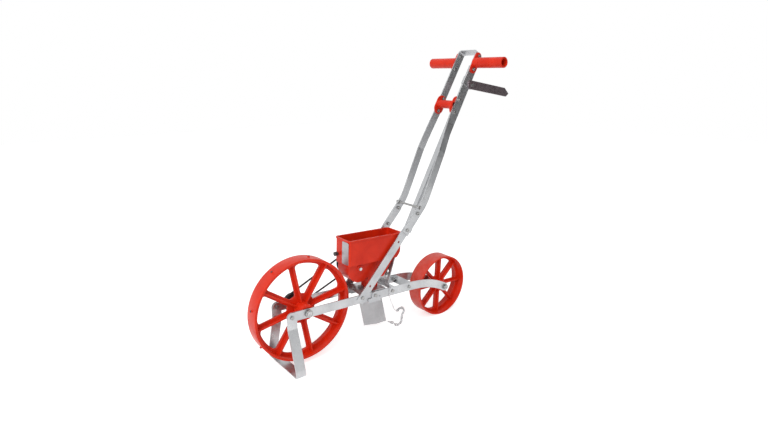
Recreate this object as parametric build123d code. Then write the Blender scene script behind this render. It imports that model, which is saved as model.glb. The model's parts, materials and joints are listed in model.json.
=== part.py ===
from build123d import *
import math
import os

# Walk-behind garden seeder, parked on its front stand and its rear press wheel.
# Every piece is drawn in the machine's own frame: origin at the middle of the front axle,
# +X towards the rear press wheel, +Y to the machine's right, +Z up, side rails level.
# At the end the machine is tilted nose up and set down, with the ground at Z = 0.

# Steel strip and sheet
STRIP_W = 25.4
STRIP_T = 3.2
SHEET_T = 2.5

# Fasteners and clearances
BOLT_R = 3.2
HEAD_R = 5.6
HEAD_H = 3.0
NUT_R = 5.6
NUT_H = 4.6
BOLT_END = 1.2
BOLT_GAP = 0.1
RUN_GAP = 0.3
BEARING_GAP = 0.05

# Side rails
RAIL_HALF = 42.0
RAIL_REAR_HALF = 37.0
TOE_START_X = 385.0
TOE_END_X = 485.0
ARCH_START_X = 370.0
STAND_PIVOT_X = -50.0
REAR_AXLE_X = 511.0
REAR_AXLE_DROP = 35.4
SADDLE_BOLT = (221.0, 2.0)
BRACKET_BOLT = (287.0, 1.0)
CROSS_BOLT = (352.0, 0.0)

# Wheels
FRONT_R = 143.0
FRONT_W = 46.0
FRONT_RIM_T = 7.0
FRONT_HUB_R = 21.0
FRONT_SPOKE_W = 17.0
FRONT_RIB_HALF = 15.0
FRONT_WINDOW_IN = 40.0
FRONT_WINDOW_OUT = 127.0
REAR_R = 99.0
REAR_W = 52.0
REAR_RIM_T = 5.0
REAR_HUB_R = 17.0
REAR_SPOKE_W = 12.0
REAR_RIB_HALF = 12.0
REAR_WINDOW_IN = 31.0
REAR_WINDOW_OUT = 86.0
SPOKES = 8
WEB_T = 5.0
RIB_T = 4.0
WINDOW_CORNER_R = 5.0
CLEATS = 8
CLEAT_R = 3.5
CLEAT_H = 3.6
AXLE_R = 6.35
AXLE_LEFT_Y = -50.0
AXLE_RIGHT_Y = 58.0
BUSH_WALL = 3.0
BUSH_FLANGE_R = 13.0
BUSH_FLANGE_T = 2.0
COLLAR_R = 10.5
COLLAR_W = 6.0
WHEEL_PIN_R = 2.0
WHEEL_PIN_Y = 28.0
REAR_AXLE_R = 5.0
SPACER_R = 9.0
SPACER_W = 2.5
REAR_NUT_R = 9.0
REAR_NUT_H = 7.0

# Seed drive
SEED_X = 180.0
SEED_Z = 84.0
SEED_SHAFT_R = 4.75
SEED_SHAFT_LEFT_Y = -26.0
SEED_BUSH_R = 8.0
SEED_BUSH_FLANGE_R = 11.0
SEED_PLATE_R = 35.0
SEED_PLATE_T = 4.0
SEED_PLATE_Y = -4.0
SEED_PLATE_HUB_R = 9.0
SEED_PLATE_HUB_T = 12.0
SEED_CELLS = 16
SEED_CELL_R = 2.6
SEED_CELL_RING_R = 29.0
BELT_Y = 50.5
BELT_R = 2.6
DRIVE_PULLEY_R = 23.0
SEED_PULLEY_R = 27.5
PULLEY_W = 10.0
PULLEY_LIP = 2.4

# Parked attitude
PARK_TILT = 2.5

# Front stand
STAND_W = 28.0
STAND_FOOT_HALF = 83.0
STAND_CREASE_DROP = 32.0
STAND_TOE_HALF = 80.0
STAND_TOE_H = 20.0
STAND_CREASE_R = 20.0
STAND_TOE_R = 12.0
STAND_FOOT_R = 6.0

# Handle, seen from the side
JOINT_LOW = (329.3, 183.0)
JOINT_HIGH = (366.7, 229.0)
RAIL_JOINT = (175.0, 4.0)
BAR_TAIL = 15.0
SPARE_HOLES_UP = [40.0, 193.0]
HANDLE_KNEE = (391.4, 258.1)
HANDLE_SHOULDER = (478.6, 473.9)
HANDLE_TOP = (597.0, 703.0)
KNEE_R = 150.0
SHOULDER_R = 1900.0
HANDLE_TOP_HALF = 37.5
NARROW_LOW = 328.0
NARROW_HIGH = 213.0
HOOP_CORNER_R = 9.0
GRIP_DOWN = 37.0
GRIP_END = 149.5
GRIP_R = 15.5
GRIP_BORE_R = 11.0
GRIP_FLANGE_L = 66.0
GRIP_FLANGE_W = 27.0
GRIP_BOLT_STEP = 22.0
GRIP_EDGE_R = 1.5
FLANGE_T = 3.0
BRACE_DOWN = 182.0
BRACE_AHEAD = 7.9
BRACE_R = 12.3
BRACE_BORE_R = 9.0
BRACE_FLANGE_AHEAD = 3.0
BRACE_FLANGE_L = 58.0
BRACE_FLANGE_W = 36.0
BRACE_BOLT_STEP = 20.5
BRACE_BOLT_AHEAD = 2.0
ROD_POS = (371.0, 247.0)
ROD_R = 3.2
ROD_END = 6.0

# Hopper
HOP_FRONT_X = 132.0
HOP_REAR_X = 321.0
HOP_TOP_Z = 175.0
HOP_REAR_LOW_Z = 123.0
HOP_SLOPE = 54.5
HOP_HALF = 34.0
HOP_WALL = 2.5
HOP_STEP_Z = 101.0
HOP_CORNER_R = 8.0
HOP_LIP_W = 2.0
HOP_LIP_H = 4.0
HOUSING_R = 40.0
HOUSING_LEFT_Y = -22.0
HOUSING_RIGHT_Y = 31.0
CHUTE_FRONT_X = 212.0
CHUTE_REAR_X = 250.0
CHUTE_HALF = 15.0
CHUTE_THROAT_Z = 46.0
PLATE_LEFT_Y = -32.0
PLATE_RIGHT_Y = -1.5
PLATE_LOW_Z = 104.0
PLATE_HIGH_Z = 169.0
PLATE_T = 0.8
PLATE_CORNER_R = 4.0
KNOB_Y = 20.0
KNOB_Z = 127.0
KNOB_R = 6.0
KNOB_L = 8.0
KNOB_NECK_R = 3.0
KNOB_NECK_L = 4.0

# Saddle and brackets between the rails
SADDLE_FRONT_X = 168.0
SADDLE_REAR_X = 262.0
SADDLE_TOP_Z = 16.0
SADDLE_LOW_Z = -8.0
SADDLE_CORNER_R = 6.0
BRACKET_FRONT_X = 276.0
BRACKET_REAR_X = 298.0
BRACKET_LOW_Z = -9.0
BRACKET_TOP_Z = 11.5
BRACKET_HALF = 28.0
BRACKET_KNEE = (283.0, 30.0)
BRACKET_TAB_START = 94.3
BRACKET_TAB_L = 14.0
ADJUST_Y = -14.0
ADJUST_SLOT_L = 26.0
ADJUST_AT = 0.25
CROSS_LOW = (354.0, -10.0)
CROSS_HIGH = (369.5, 8.0)
CROSS_TAB_HALF = 11.0

# Opener shoe, its shank and its guide
SHOE_LEAN = 14.2
SHOE_TIP_X = 215.6
SHOE_FOOT_Z = -108.6
SHOE_H = 92.0
SHOE_NOSE_L = 40.0
SHOE_L = 76.0
SHOE_HALF = 12.5
SHOE_REAR_HALF = 11.0
SHOE_WALL = 3.0
SHANK_BACK = 8.0
SHANK_L = 14.0
SHANK_T = 6.0
SHANK_LOW_Z = -70.0
SHANK_TOP_Z = 24.0
GUIDE_LOW_Z = -6.0
GUIDE_WALL = 3.0
GUIDE_HALF = 8.0
OPENER_PLATE_FRONT_X = 196.0
OPENER_PLATE_REAR_X = 240.0
OPENER_PLATE_LOW_Z = -17.0
OPENER_PLATE_STEP_Z = -4.0
OPENER_TAB_R = 12.5

# Row marker: angle-section arm, clamp and blade
ARM_BELOW_ROD = 78.0
ARM_L = 543.0
ARM_LEG = 20.0
ARM_FACE = 16.0
ARM_Y = 31.0
ARM_T = 2.0
MARK_DOWN = 102.0
CLAMP_HALF_W = 12.0
CLAMP_T = 2.5
CLAMP_REAR = 8.0
BLADE_ROOT = 13.0
BLADE_L = 190.0
BLADE_W = 26.0
BLADE_T = 3.0
BLADE_TIP_L = 22.0
BLADE_DROP = 6.5
BLADE_ROOT_R = 8.0

# Drag chain and its hanger wire
LINK_WIRE_R = 1.4
LINK_L = 15.0
LINK_W = 9.0
LINK_SLACK = 0.6
CHAIN_ROUTE = [
    (302.0, -10.0, -115.0),
    (318.0, -14.0, -122.0),
    (331.0, -21.0, -133.0),
    (340.0, -27.0, -117.0),
    (339.0, -29.0, -97.0),
    (350.0, -28.0, -78.0),
    (335.0, -28.0, -69.0),
    (318.0, -28.0, -76.0),
]
CHAIN_BENDS = [20.0, 10.0, 12.0, 16.0, 9.0, 14.0]
WIRE_R = 1.0
WIRE_ROUTE = [
    (285.0, -29.0, 14.0),
    (276.0, -45.0, 15.0),
    (273.0, -45.0, -14.0),
    (296.0, -43.0, -62.0),
]
WIRE_BENDS = [4.0, 5.0, 20.0, 3.0]
WIRE_HOOK_L = 10.0


def side(face, y_from, y_to):
    """Extrude a face drawn in the side view (x, z) between two y values."""
    solid = extrude(Plane.XZ * face, amount=abs(y_to - y_from), dir=(0, -1, 0))
    return Pos(0, max(y_from, y_to), 0) * solid


def pin(point, radius, y_from, y_to):
    """Round bar along Y at a side-view point."""
    return side(Pos(*point) * Circle(radius), y_from, y_to)


def hole(point, radius=BOLT_R + BOLT_GAP):
    """Cutter for a round hole along Y right through the machine."""
    return pin(point, radius, -2 * GRIP_END, 2 * GRIP_END)


def along(start, end, distance):
    """Point on the line from start to end, a distance beyond end."""
    length = math.hypot(end[0] - start[0], end[1] - start[1])
    dx = (end[0] - start[0]) / length
    dz = (end[1] - start[1]) / length
    return (end[0] + dx * distance, end[1] + dz * distance)


def bolt(seat, outward, length, radius=BOLT_R, head_r=HEAD_R, head_h=HEAD_H):
    """Hex bolt with its head on the seat and its shank running the other way."""
    plane = Plane(origin=seat, z_dir=outward)
    head = extrude(plane * RegularPolygon(head_r, 6), amount=head_h)
    return head + extrude(plane * Circle(radius), amount=-length)


def nut(seat, outward, grip, radius=BOLT_R, nut_r=NUT_R, nut_h=NUT_H):
    """Hex nut on the far side of the grip under a bolt's seat."""
    plane = Plane(origin=seat, z_dir=outward).offset(-grip)
    return extrude(plane * (RegularPolygon(nut_r, 6) - Circle(radius + BOLT_GAP)), amount=-nut_h)


def bolt_pair(point, seat_y, direction, grip):
    """Bolts and nuts at a side-view point, on the left at seat_y and mirrored on the right."""
    seat = (point[0], seat_y, point[1])
    outward = (0, direction, 0)
    left = [bolt(seat, outward, grip + NUT_H + BOLT_END), nut(seat, outward, grip)]
    return left + [mirrored(piece) for piece in left]


def mirrored(shape):
    return mirror(shape, about=Plane.XZ)


def lift(angle):
    """Unit direction in the side view at an angle above +X."""
    return (math.cos(math.radians(angle)), math.sin(math.radians(angle)))


parts = {}

# Side rails: flat strip on edge, arched down to the rear axle and toed in behind
arch_dx = REAR_AXLE_X - ARCH_START_X
arch_r = (arch_dx**2 + REAR_AXLE_DROP**2) / (2 * REAR_AXLE_DROP)
arch_turn = math.degrees(math.asin(arch_dx / arch_r))
rear_axle = (REAR_AXLE_X, -REAR_AXLE_DROP)
rail_line = Line((STAND_PIVOT_X, 0), (ARCH_START_X, 0))
rail_arch = CenterArc((ARCH_START_X, -arch_r), arch_r, 90 - arch_turn, arch_turn)
rail_outline = trace([rail_line, rail_arch], line_width=STRIP_W)
rail_outline += Pos(STAND_PIVOT_X, 0) * Circle(STRIP_W / 2)
rail_outline += Pos(*rear_axle) * Circle(STRIP_W / 2)
rail_nose_x = STAND_PIVOT_X - STRIP_W
rail_tail_x = REAR_AXLE_X + STRIP_W
rail_plan = Polygon(
    (rail_nose_x, -RAIL_HALF),
    (TOE_START_X, -RAIL_HALF),
    (TOE_END_X, -RAIL_REAR_HALF),
    (rail_tail_x, -RAIL_REAR_HALF),
    (rail_tail_x, -RAIL_REAR_HALF + STRIP_T),
    (TOE_END_X, -RAIL_REAR_HALF + STRIP_T),
    (TOE_START_X, -RAIL_HALF + STRIP_T),
    (rail_nose_x, -RAIL_HALF + STRIP_T),
    align=None,
)
bush_r = AXLE_R + BEARING_GAP + BUSH_WALL
left_rail = side(rail_outline, 0, -2 * RAIL_HALF)
left_rail &= extrude(rail_plan, amount=2 * arch_r, both=True)
left_rail -= hole((0, 0), bush_r + BEARING_GAP)
left_rail -= hole((STAND_PIVOT_X, 0))
left_rail -= hole(rear_axle, REAR_AXLE_R + BOLT_GAP)
for point in [RAIL_JOINT, SADDLE_BOLT, BRACKET_BOLT, CROSS_BOLT]:
    left_rail -= hole(point)
parts["left_side_rail"] = [left_rail]
parts["right_side_rail"] = [mirrored(left_rail)]

# Lower handle bars, bolted outside the rails
bar_out = RAIL_HALF + STRIP_T
bar_foot = along(JOINT_HIGH, RAIL_JOINT, BAR_TAIL)
bar_outline = trace(Line(bar_foot, JOINT_HIGH), line_width=STRIP_W)
bar_outline += Pos(*JOINT_HIGH) * Circle(STRIP_W / 2)
lower_bar = side(bar_outline, -RAIL_HALF, -bar_out)
spare_holes = [along(JOINT_HIGH, RAIL_JOINT, -up) for up in SPARE_HOLES_UP]
for point in [RAIL_JOINT, JOINT_LOW, JOINT_HIGH] + spare_holes:
    lower_bar -= hole(point)
parts["left_lower_handle_bar"] = [lower_bar]
parts["right_lower_handle_bar"] = [mirrored(lower_bar)]

# Upper handle: one strip bent into a hoop, bolted outside the lower bars
hoop_foot = along(JOINT_HIGH, JOINT_LOW, STRIP_W / 2)
hoop_line = FilletPolyline(
    hoop_foot, HANDLE_KNEE, HANDLE_SHOULDER, HANDLE_TOP, radius=[KNEE_R, SHOULDER_R]
)
handle_rise = HANDLE_TOP[1] - HANDLE_SHOULDER[1]
handle_run = HANDLE_TOP[0] - HANDLE_SHOULDER[0]
handle_angle = math.degrees(math.atan2(handle_rise, handle_run))
handle_x, handle_z = lift(handle_angle)
hoop_half = bar_out + STRIP_T
hoop_plane = Plane(
    origin=(HANDLE_TOP[0], 0, HANDLE_TOP[1]),
    x_dir=(0, -1, 0),
    z_dir=(-handle_z, 0, handle_x),
)


def handle_point(down, ahead=0.0):
    """Side-view point on the upper handle, down from its top and ahead of its middle line."""
    x = HANDLE_TOP[0] - down * handle_x - ahead * handle_z
    z = HANDLE_TOP[1] - down * handle_z + ahead * handle_x
    return (x, z)


def hoop_front(half_low, half_top, top, corner_r):
    """Front outline of the hoop, measured down from its top."""
    low = -2 * HANDLE_TOP[1]
    outline = Polygon(
        (-half_low, low),
        (-half_low, -NARROW_LOW),
        (-half_top, -NARROW_HIGH),
        (-half_top, top),
        (half_top, top),
        (half_top, -NARROW_HIGH),
        (half_low, -NARROW_LOW),
        (half_low, low),
        align=None,
    )
    return fillet(outline.vertices().group_by(Axis.Y)[-1], corner_r)


hoop_outer = hoop_front(hoop_half, HANDLE_TOP_HALF, 0, HOOP_CORNER_R)
hoop_inner = hoop_front(
    hoop_half - STRIP_T, HANDLE_TOP_HALF - STRIP_T, -STRIP_T, HOOP_CORNER_R - STRIP_T
)
hoop = side(trace(hoop_line, line_width=STRIP_W), -2 * hoop_half, 2 * hoop_half)
hoop &= extrude(hoop_plane * (hoop_outer - hoop_inner), amount=HANDLE_TOP[0], both=True)
grip_bolts = [handle_point(GRIP_DOWN - GRIP_BOLT_STEP), handle_point(GRIP_DOWN + GRIP_BOLT_STEP)]
brace_bolts = [
    handle_point(BRACE_DOWN - BRACE_BOLT_STEP, BRACE_BOLT_AHEAD),
    handle_point(BRACE_DOWN + BRACE_BOLT_STEP, BRACE_BOLT_AHEAD),
]
for point in [JOINT_LOW, JOINT_HIGH, ROD_POS] + grip_bolts + brace_bolts:
    hoop -= hole(point)
parts["handle_hoop"] = [hoop]

# Hand grips: red moulded tubes with a flange on the hoop's outer face
top_in = HANDLE_TOP_HALF - STRIP_T
grip_pos = handle_point(GRIP_DOWN)
grip_seat = -HANDLE_TOP_HALF - FLANGE_T
grip_outline = Pos(*grip_pos) * Rot(0, 0, handle_angle) * SlotOverall(GRIP_FLANGE_L, GRIP_FLANGE_W)
grip = side(grip_outline, -HANDLE_TOP_HALF, grip_seat)
grip += pin(grip_pos, GRIP_R, -HANDLE_TOP_HALF, -GRIP_END)
grip -= pin(grip_pos, GRIP_BORE_R, grip_seat, -2 * GRIP_END)
grip = fillet(grip.edges().group_by(Axis.Y)[0], GRIP_EDGE_R)
for point in grip_bolts:
    grip -= hole(point)
parts["left_grip"] = [grip]
parts["right_grip"] = [mirrored(grip)]

# Tube brace between the hoop's sides, with a flange on each inner face
brace_pos = handle_point(BRACE_DOWN, BRACE_AHEAD)
brace_outline = Pos(*handle_point(BRACE_DOWN, BRACE_FLANGE_AHEAD)) * Rot(0, 0, handle_angle)
brace_outline = brace_outline * SlotOverall(BRACE_FLANGE_L, BRACE_FLANGE_W)
brace = side(brace_outline, -top_in, -top_in + FLANGE_T)
brace += mirrored(brace)
brace += pin(brace_pos, BRACE_R, -top_in, top_in)
brace -= pin(brace_pos, BRACE_BORE_R, -HANDLE_TOP_HALF, HANDLE_TOP_HALF)
for point in brace_bolts:
    brace -= hole(point)
parts["handle_brace"] = [brace]

# Threaded spreader rod above the joint, with nuts on both faces of each hoop side
rod_half = hoop_half + ROD_END
hoop_in = hoop_half - STRIP_T
parts["spreader_rod"] = [pin(ROD_POS, ROD_R, -rod_half, rod_half)]
rod_nuts = [
    nut((ROD_POS[0], -hoop_half, ROD_POS[1]), (0, 1, 0), 0, ROD_R),
    nut((ROD_POS[0], -hoop_in, ROD_POS[1]), (0, -1, 0), 0, ROD_R),
]
parts["spreader_nuts"] = rod_nuts + [mirrored(piece) for piece in rod_nuts]

# Handle fasteners
joint_grip = 2 * STRIP_T
parts["handle_joint_bolts"] = []
for point in [JOINT_LOW, JOINT_HIGH]:
    parts["handle_joint_bolts"] += bolt_pair(point, -hoop_half, -1, joint_grip)
flange_grip = STRIP_T + FLANGE_T
parts["grip_bolts"] = []
for point in grip_bolts:
    parts["grip_bolts"] += bolt_pair(point, -top_in, 1, flange_grip)
parts["brace_bolts"] = []
for point in brace_bolts:
    parts["brace_bolts"] += bolt_pair(point, -top_in + FLANGE_T, 1, flange_grip)


def spoked_wheel(radius, width, rim_t, hub_r, hub_half, bore_r, spoke_w, rib_half, window):
    """Moulded wheel about the Y axis: rim, hub, web with rounded windows, a rib on each spoke."""
    window_in, window_out = window
    rim_in = radius - rim_t
    wheel = side(Circle(radius) - Circle(rim_in), -width / 2, width / 2)
    wheel += pin((0, 0), hub_r, -hub_half, hub_half)
    web = side(Circle(radius - rim_t / 2), -WEB_T / 2, WEB_T / 2)
    half_turn = 180 / SPOKES
    apex = spoke_w / 2 / math.sin(math.radians(half_turn))
    far_x = apex + 2 * radius * math.cos(math.radians(half_turn))
    far_z = 2 * radius * math.sin(math.radians(half_turn))
    wedge = Polygon((apex, 0), (far_x, -far_z), (far_x, far_z), align=None)
    opening = (Circle(window_out) - Circle(window_in)) & wedge
    opening = fillet(opening.vertices(), WINDOW_CORNER_R)
    rib_face = Pos((hub_r + radius - rim_t) / 2, 0) * Rectangle(rim_in - hub_r + rim_t, RIB_T)
    for index in range(SPOKES):
        turn = 2 * half_turn * index
        web -= side(Rot(0, 0, turn + half_turn) * opening, -WEB_T, WEB_T)
        wheel += side(Rot(0, 0, turn) * rib_face, -rib_half, rib_half)
    wheel += web
    return wheel - pin((0, 0), bore_r, -width, width)


# Front drive wheel with traction cleats, pinned to a live axle
bush_in = RAIL_HALF - STRIP_T - BUSH_FLANGE_T
front_wheel = spoked_wheel(
    FRONT_R,
    FRONT_W,
    FRONT_RIM_T,
    FRONT_HUB_R,
    bush_in - RUN_GAP,
    AXLE_R + BEARING_GAP,
    FRONT_SPOKE_W,
    FRONT_RIB_HALF,
    (FRONT_WINDOW_IN, FRONT_WINDOW_OUT),
)
for index in range(CLEATS):
    cleat_x, cleat_z = lift(360 / CLEATS * (index + 0.5))
    sunk_r = FRONT_R - FRONT_RIM_T / 2
    cleat_plane = Plane(
        origin=(sunk_r * cleat_x, 0, sunk_r * cleat_z), z_dir=(cleat_x, 0, cleat_z)
    )
    front_wheel += extrude(cleat_plane * Circle(CLEAT_R), amount=CLEAT_H + FRONT_RIM_T / 2)
front_axle = pin((0, 0), AXLE_R, AXLE_LEFT_Y, AXLE_RIGHT_Y)
pin_line = Pos(0, WHEEL_PIN_Y, 0)
wheel_pin = pin_line * Cylinder(WHEEL_PIN_R, 2 * FRONT_HUB_R)
pin_hole = pin_line * Cylinder(WHEEL_PIN_R + BEARING_GAP, 2 * FRONT_R - 2 * FRONT_RIM_T)
parts["front_wheel"] = [front_wheel - pin_hole]
parts["front_axle"] = [front_axle - pin_hole]
parts["front_wheel_pin"] = [wheel_pin]

# Flanged bushes in the rails and the collar that keeps the axle in place
bush_out = RAIL_HALF + BUSH_FLANGE_T / 4
bush = pin((0, 0), bush_r, -bush_out, -bush_in)
bush += pin((0, 0), BUSH_FLANGE_R, -RAIL_HALF + STRIP_T, -bush_in)
bush -= hole((0, 0), AXLE_R + BEARING_GAP)
parts["front_axle_bushes"] = [bush, mirrored(bush)]
collar = pin((0, 0), COLLAR_R, -bush_out - RUN_GAP, -bush_out - RUN_GAP - COLLAR_W)
parts["front_axle_collar"] = [collar - hole((0, 0), AXLE_R + BEARING_GAP)]

# Rear press wheel on a fixed axle bolt
rear_in = RAIL_REAR_HALF - STRIP_T
spacer_in = rear_in - SPACER_W
rear_wheel = spoked_wheel(
    REAR_R,
    REAR_W,
    REAR_RIM_T,
    REAR_HUB_R,
    spacer_in - RUN_GAP,
    REAR_AXLE_R + BEARING_GAP,
    REAR_SPOKE_W,
    REAR_RIB_HALF,
    (REAR_WINDOW_IN, REAR_WINDOW_OUT),
)
parts["rear_wheel"] = [Pos(rear_axle[0], 0, rear_axle[1]) * rear_wheel]
rear_seat = (rear_axle[0], -RAIL_REAR_HALF, rear_axle[1])
rear_grip = 2 * RAIL_REAR_HALF
rear_bolt_l = rear_grip + REAR_NUT_H + 2 * BOLT_END
parts["rear_axle_bolt"] = [
    bolt(rear_seat, (0, -1, 0), rear_bolt_l, REAR_AXLE_R, REAR_NUT_R, REAR_NUT_H)
]
parts["rear_axle_nut"] = [
    nut(rear_seat, (0, -1, 0), rear_grip, REAR_AXLE_R, REAR_NUT_R, REAR_NUT_H)
]
spacer = pin(rear_axle, SPACER_R, -rear_in, -spacer_in) - hole(rear_axle, REAR_AXLE_R + BOLT_GAP)
parts["rear_spacers"] = [spacer, mirrored(spacer)]

# Seed drive: pulley on the live axle, round belt, pulley, shaft and cell plate
seed_axis = (SEED_X, SEED_Z)


def pulley(point, pitch_r, bore_r):
    """Grooved pulley in the belt's plane."""
    body = pin(point, pitch_r + PULLEY_LIP, BELT_Y - PULLEY_W / 2, BELT_Y + PULLEY_W / 2)
    groove_r = BELT_R + RUN_GAP
    groove_face = Circle(pitch_r + 2 * PULLEY_LIP) - Circle(pitch_r)
    body -= side(Pos(*point) * groove_face, BELT_Y - groove_r, BELT_Y + groove_r)
    body -= Pos(point[0], BELT_Y, point[1]) * Rot(90, 0, 0) * Torus(pitch_r, groove_r)
    return body - hole(point, bore_r + BEARING_GAP)


parts["drive_pulley"] = [pulley((0, 0), DRIVE_PULLEY_R, AXLE_R)]
parts["seed_pulley"] = [pulley(seed_axis, SEED_PULLEY_R, SEED_SHAFT_R)]
parts["seed_shaft"] = [pin(seed_axis, SEED_SHAFT_R, SEED_SHAFT_LEFT_Y, AXLE_RIGHT_Y)]
plate_out_y = SEED_PLATE_Y + SEED_PLATE_T
seed_plate = pin(seed_axis, SEED_PLATE_R, SEED_PLATE_Y, plate_out_y)
seed_plate += pin(seed_axis, SEED_PLATE_HUB_R, plate_out_y - SEED_PLATE_HUB_T, plate_out_y)
for index in range(SEED_CELLS):
    cell_x, cell_z = lift(360 / SEED_CELLS * index)
    cell = (SEED_X + SEED_CELL_RING_R * cell_x, SEED_Z + SEED_CELL_RING_R * cell_z)
    seed_plate -= hole(cell, SEED_CELL_R)
parts["seed_plate"] = [seed_plate - hole(seed_axis, SEED_SHAFT_R + BEARING_GAP)]

centre_gap = math.hypot(SEED_X, SEED_Z)
belt_rise = math.degrees(math.atan2(SEED_Z, SEED_X))
belt_wrap = math.degrees(math.acos((DRIVE_PULLEY_R - SEED_PULLEY_R) / centre_gap))
drive_arc = CenterArc((0, 0), DRIVE_PULLEY_R, belt_rise + belt_wrap, 360 - 2 * belt_wrap)
seed_arc = CenterArc(seed_axis, SEED_PULLEY_R, belt_rise - belt_wrap, 2 * belt_wrap)
belt_loop = Wire(
    [
        drive_arc.edge(),
        Line(drive_arc @ 1, seed_arc @ 0).edge(),
        seed_arc.edge(),
        Line(seed_arc @ 1, drive_arc @ 0).edge(),
    ]
)
belt_path = Plane.XZ.offset(-BELT_Y) * belt_loop
belt_start = Plane(origin=belt_path @ 0, z_dir=belt_path % 0)
parts["drive_belt"] = [sweep(belt_start * Circle(BELT_R), path=belt_path)]

# Hopper: one moulded bin that narrows to the cell plate housing and the seed chute
slope_x, slope_z = lift(HOP_SLOPE)


def slope_point(z):
    """Side-view point on the outer face of the hopper's sloping rear wall."""
    return (HOP_REAR_X - (HOP_REAR_LOW_Z - z) * slope_x / slope_z, z)


bin_outline = Polygon(
    (HOP_FRONT_X, HOP_STEP_Z),
    slope_point(HOP_STEP_Z),
    (HOP_REAR_X, HOP_REAR_LOW_Z),
    (HOP_REAR_X, HOP_TOP_Z),
    (HOP_FRONT_X, HOP_TOP_Z),
    align=None,
)
funnel_top = HOP_STEP_Z + 2 * HOP_WALL
funnel_outline = Polygon(
    (SEED_X, funnel_top),
    (SEED_X, SEED_Z),
    (CHUTE_FRONT_X, CHUTE_THROAT_Z),
    slope_point(CHUTE_THROAT_Z),
    slope_point(funnel_top),
    align=None,
)
housing_outline = Pos(*seed_axis) * Circle(HOUSING_R) + funnel_outline
housing_outline += Polygon(
    (SEED_X - HOUSING_R, SEED_Z),
    (SEED_X, SEED_Z),
    (SEED_X, funnel_top),
    (SEED_X - HOUSING_R, funnel_top),
    align=None,
)
chute_plan = Pos((CHUTE_FRONT_X + CHUTE_REAR_X) / 2, 0, SADDLE_TOP_Z)
chute_l = CHUTE_REAR_X - CHUTE_FRONT_X
chute_h = SEED_Z - SADDLE_TOP_Z
bin_solid = side(bin_outline, -HOP_HALF, HOP_HALF)
bin_solid = fillet(bin_solid.edges().filter_by(Axis.Z), HOP_CORNER_R)
bin_room = side(offset(bin_outline, amount=-HOP_WALL), -HOP_HALF + HOP_WALL, HOP_HALF - HOP_WALL)
bin_room = fillet(bin_room.edges().filter_by(Axis.Z), HOP_CORNER_R - HOP_WALL)
mouth = bin_room.faces().sort_by(Axis.Z)[-1]
bin_room += extrude(mouth, amount=2 * HOP_WALL)
lip_low = HOP_TOP_Z - HOP_LIP_H
lip_plan = RectangleRounded(
    HOP_REAR_X - HOP_FRONT_X + 2 * HOP_LIP_W,
    2 * HOP_HALF + 2 * HOP_LIP_W,
    HOP_CORNER_R + HOP_LIP_W,
)
lip = extrude(Pos((HOP_FRONT_X + HOP_REAR_X) / 2, 0, lip_low) * lip_plan, amount=HOP_LIP_H)
chute = extrude(chute_plan * Rectangle(chute_l, 2 * CHUTE_HALF), amount=chute_h)
hopper = bin_solid + lip + side(housing_outline, HOUSING_LEFT_Y, HOUSING_RIGHT_Y) + chute
hopper -= bin_room
housing_room = offset(housing_outline, amount=-HOP_WALL)
hopper -= side(housing_room, HOUSING_LEFT_Y + HOP_WALL, HOUSING_RIGHT_Y - HOP_WALL)
chute_room = Rectangle(chute_l - 2 * HOP_WALL, 2 * (CHUTE_HALF - HOP_WALL))
hopper -= extrude(Pos(0, 0, -HOP_WALL) * chute_plan * chute_room, amount=CHUTE_THROAT_Z)
hopper -= hole(seed_axis, SEED_BUSH_R + BEARING_GAP)
parts["hopper"] = [hopper]

# Seed shaft bushes in the housing walls
parts["seed_shaft_bushes"] = []
for wall_y, outward in [(HOUSING_LEFT_Y, -1), (HOUSING_RIGHT_Y, 1)]:
    seed_bush = pin(seed_axis, SEED_BUSH_R, wall_y - outward * HOP_WALL, wall_y)
    seed_bush += pin(seed_axis, SEED_BUSH_FLANGE_R, wall_y, wall_y + outward * BUSH_FLANGE_T)
    parts["seed_shaft_bushes"].append(seed_bush - hole(seed_axis, SEED_SHAFT_R + BEARING_GAP))

# Plain plate and turned knob on the hopper's front wall
front_face = Plane(origin=(HOP_FRONT_X, 0, 0), x_dir=(0, 1, 0), z_dir=(-1, 0, 0))
plate_mid_y = (PLATE_LEFT_Y + PLATE_RIGHT_Y) / 2
plate_mid_z = (PLATE_LOW_Z + PLATE_HIGH_Z) / 2
plate_face = RectangleRounded(
    PLATE_RIGHT_Y - PLATE_LEFT_Y, PLATE_HIGH_Z - PLATE_LOW_Z, PLATE_CORNER_R
)
plate_at = Pos(HOP_FRONT_X - PLATE_T, plate_mid_y, plate_mid_z)
plate_body = extrude(Plane.YZ * plate_face, amount=PLATE_T)
parts["hopper_plate"] = [plate_at * plate_body]
knob_line = Pos(HOP_FRONT_X, KNOB_Y, KNOB_Z) * Rot(0, -90, 0)
knob = knob_line * extrude(Circle(KNOB_NECK_R), amount=KNOB_NECK_L + KNOB_L)
knob += knob_line * Pos(0, 0, KNOB_NECK_L) * extrude(Circle(KNOB_R), amount=KNOB_L)
parts["hopper_front_knob"] = [knob]


def slanted(plan, z_low, z_high):
    """Extrude a level outline up the opener's leaning line, x counted from its nose."""
    rise = math.tan(math.radians(SHOE_LEAN))
    nose_x = SHOE_TIP_X - (z_low - SHOE_FOOT_Z) * rise
    length = (z_high - z_low) / math.cos(math.radians(SHOE_LEAN))
    base = Pos(nose_x, 0, z_low) * plan
    return extrude(base, amount=length, dir=shoe_up)


def shank_section(gap=0.0):
    centre = Pos(SHANK_BACK + SHANK_L / 2, 0)
    return centre * Rectangle(SHANK_L + 2 * gap, SHANK_T + 2 * gap)


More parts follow.
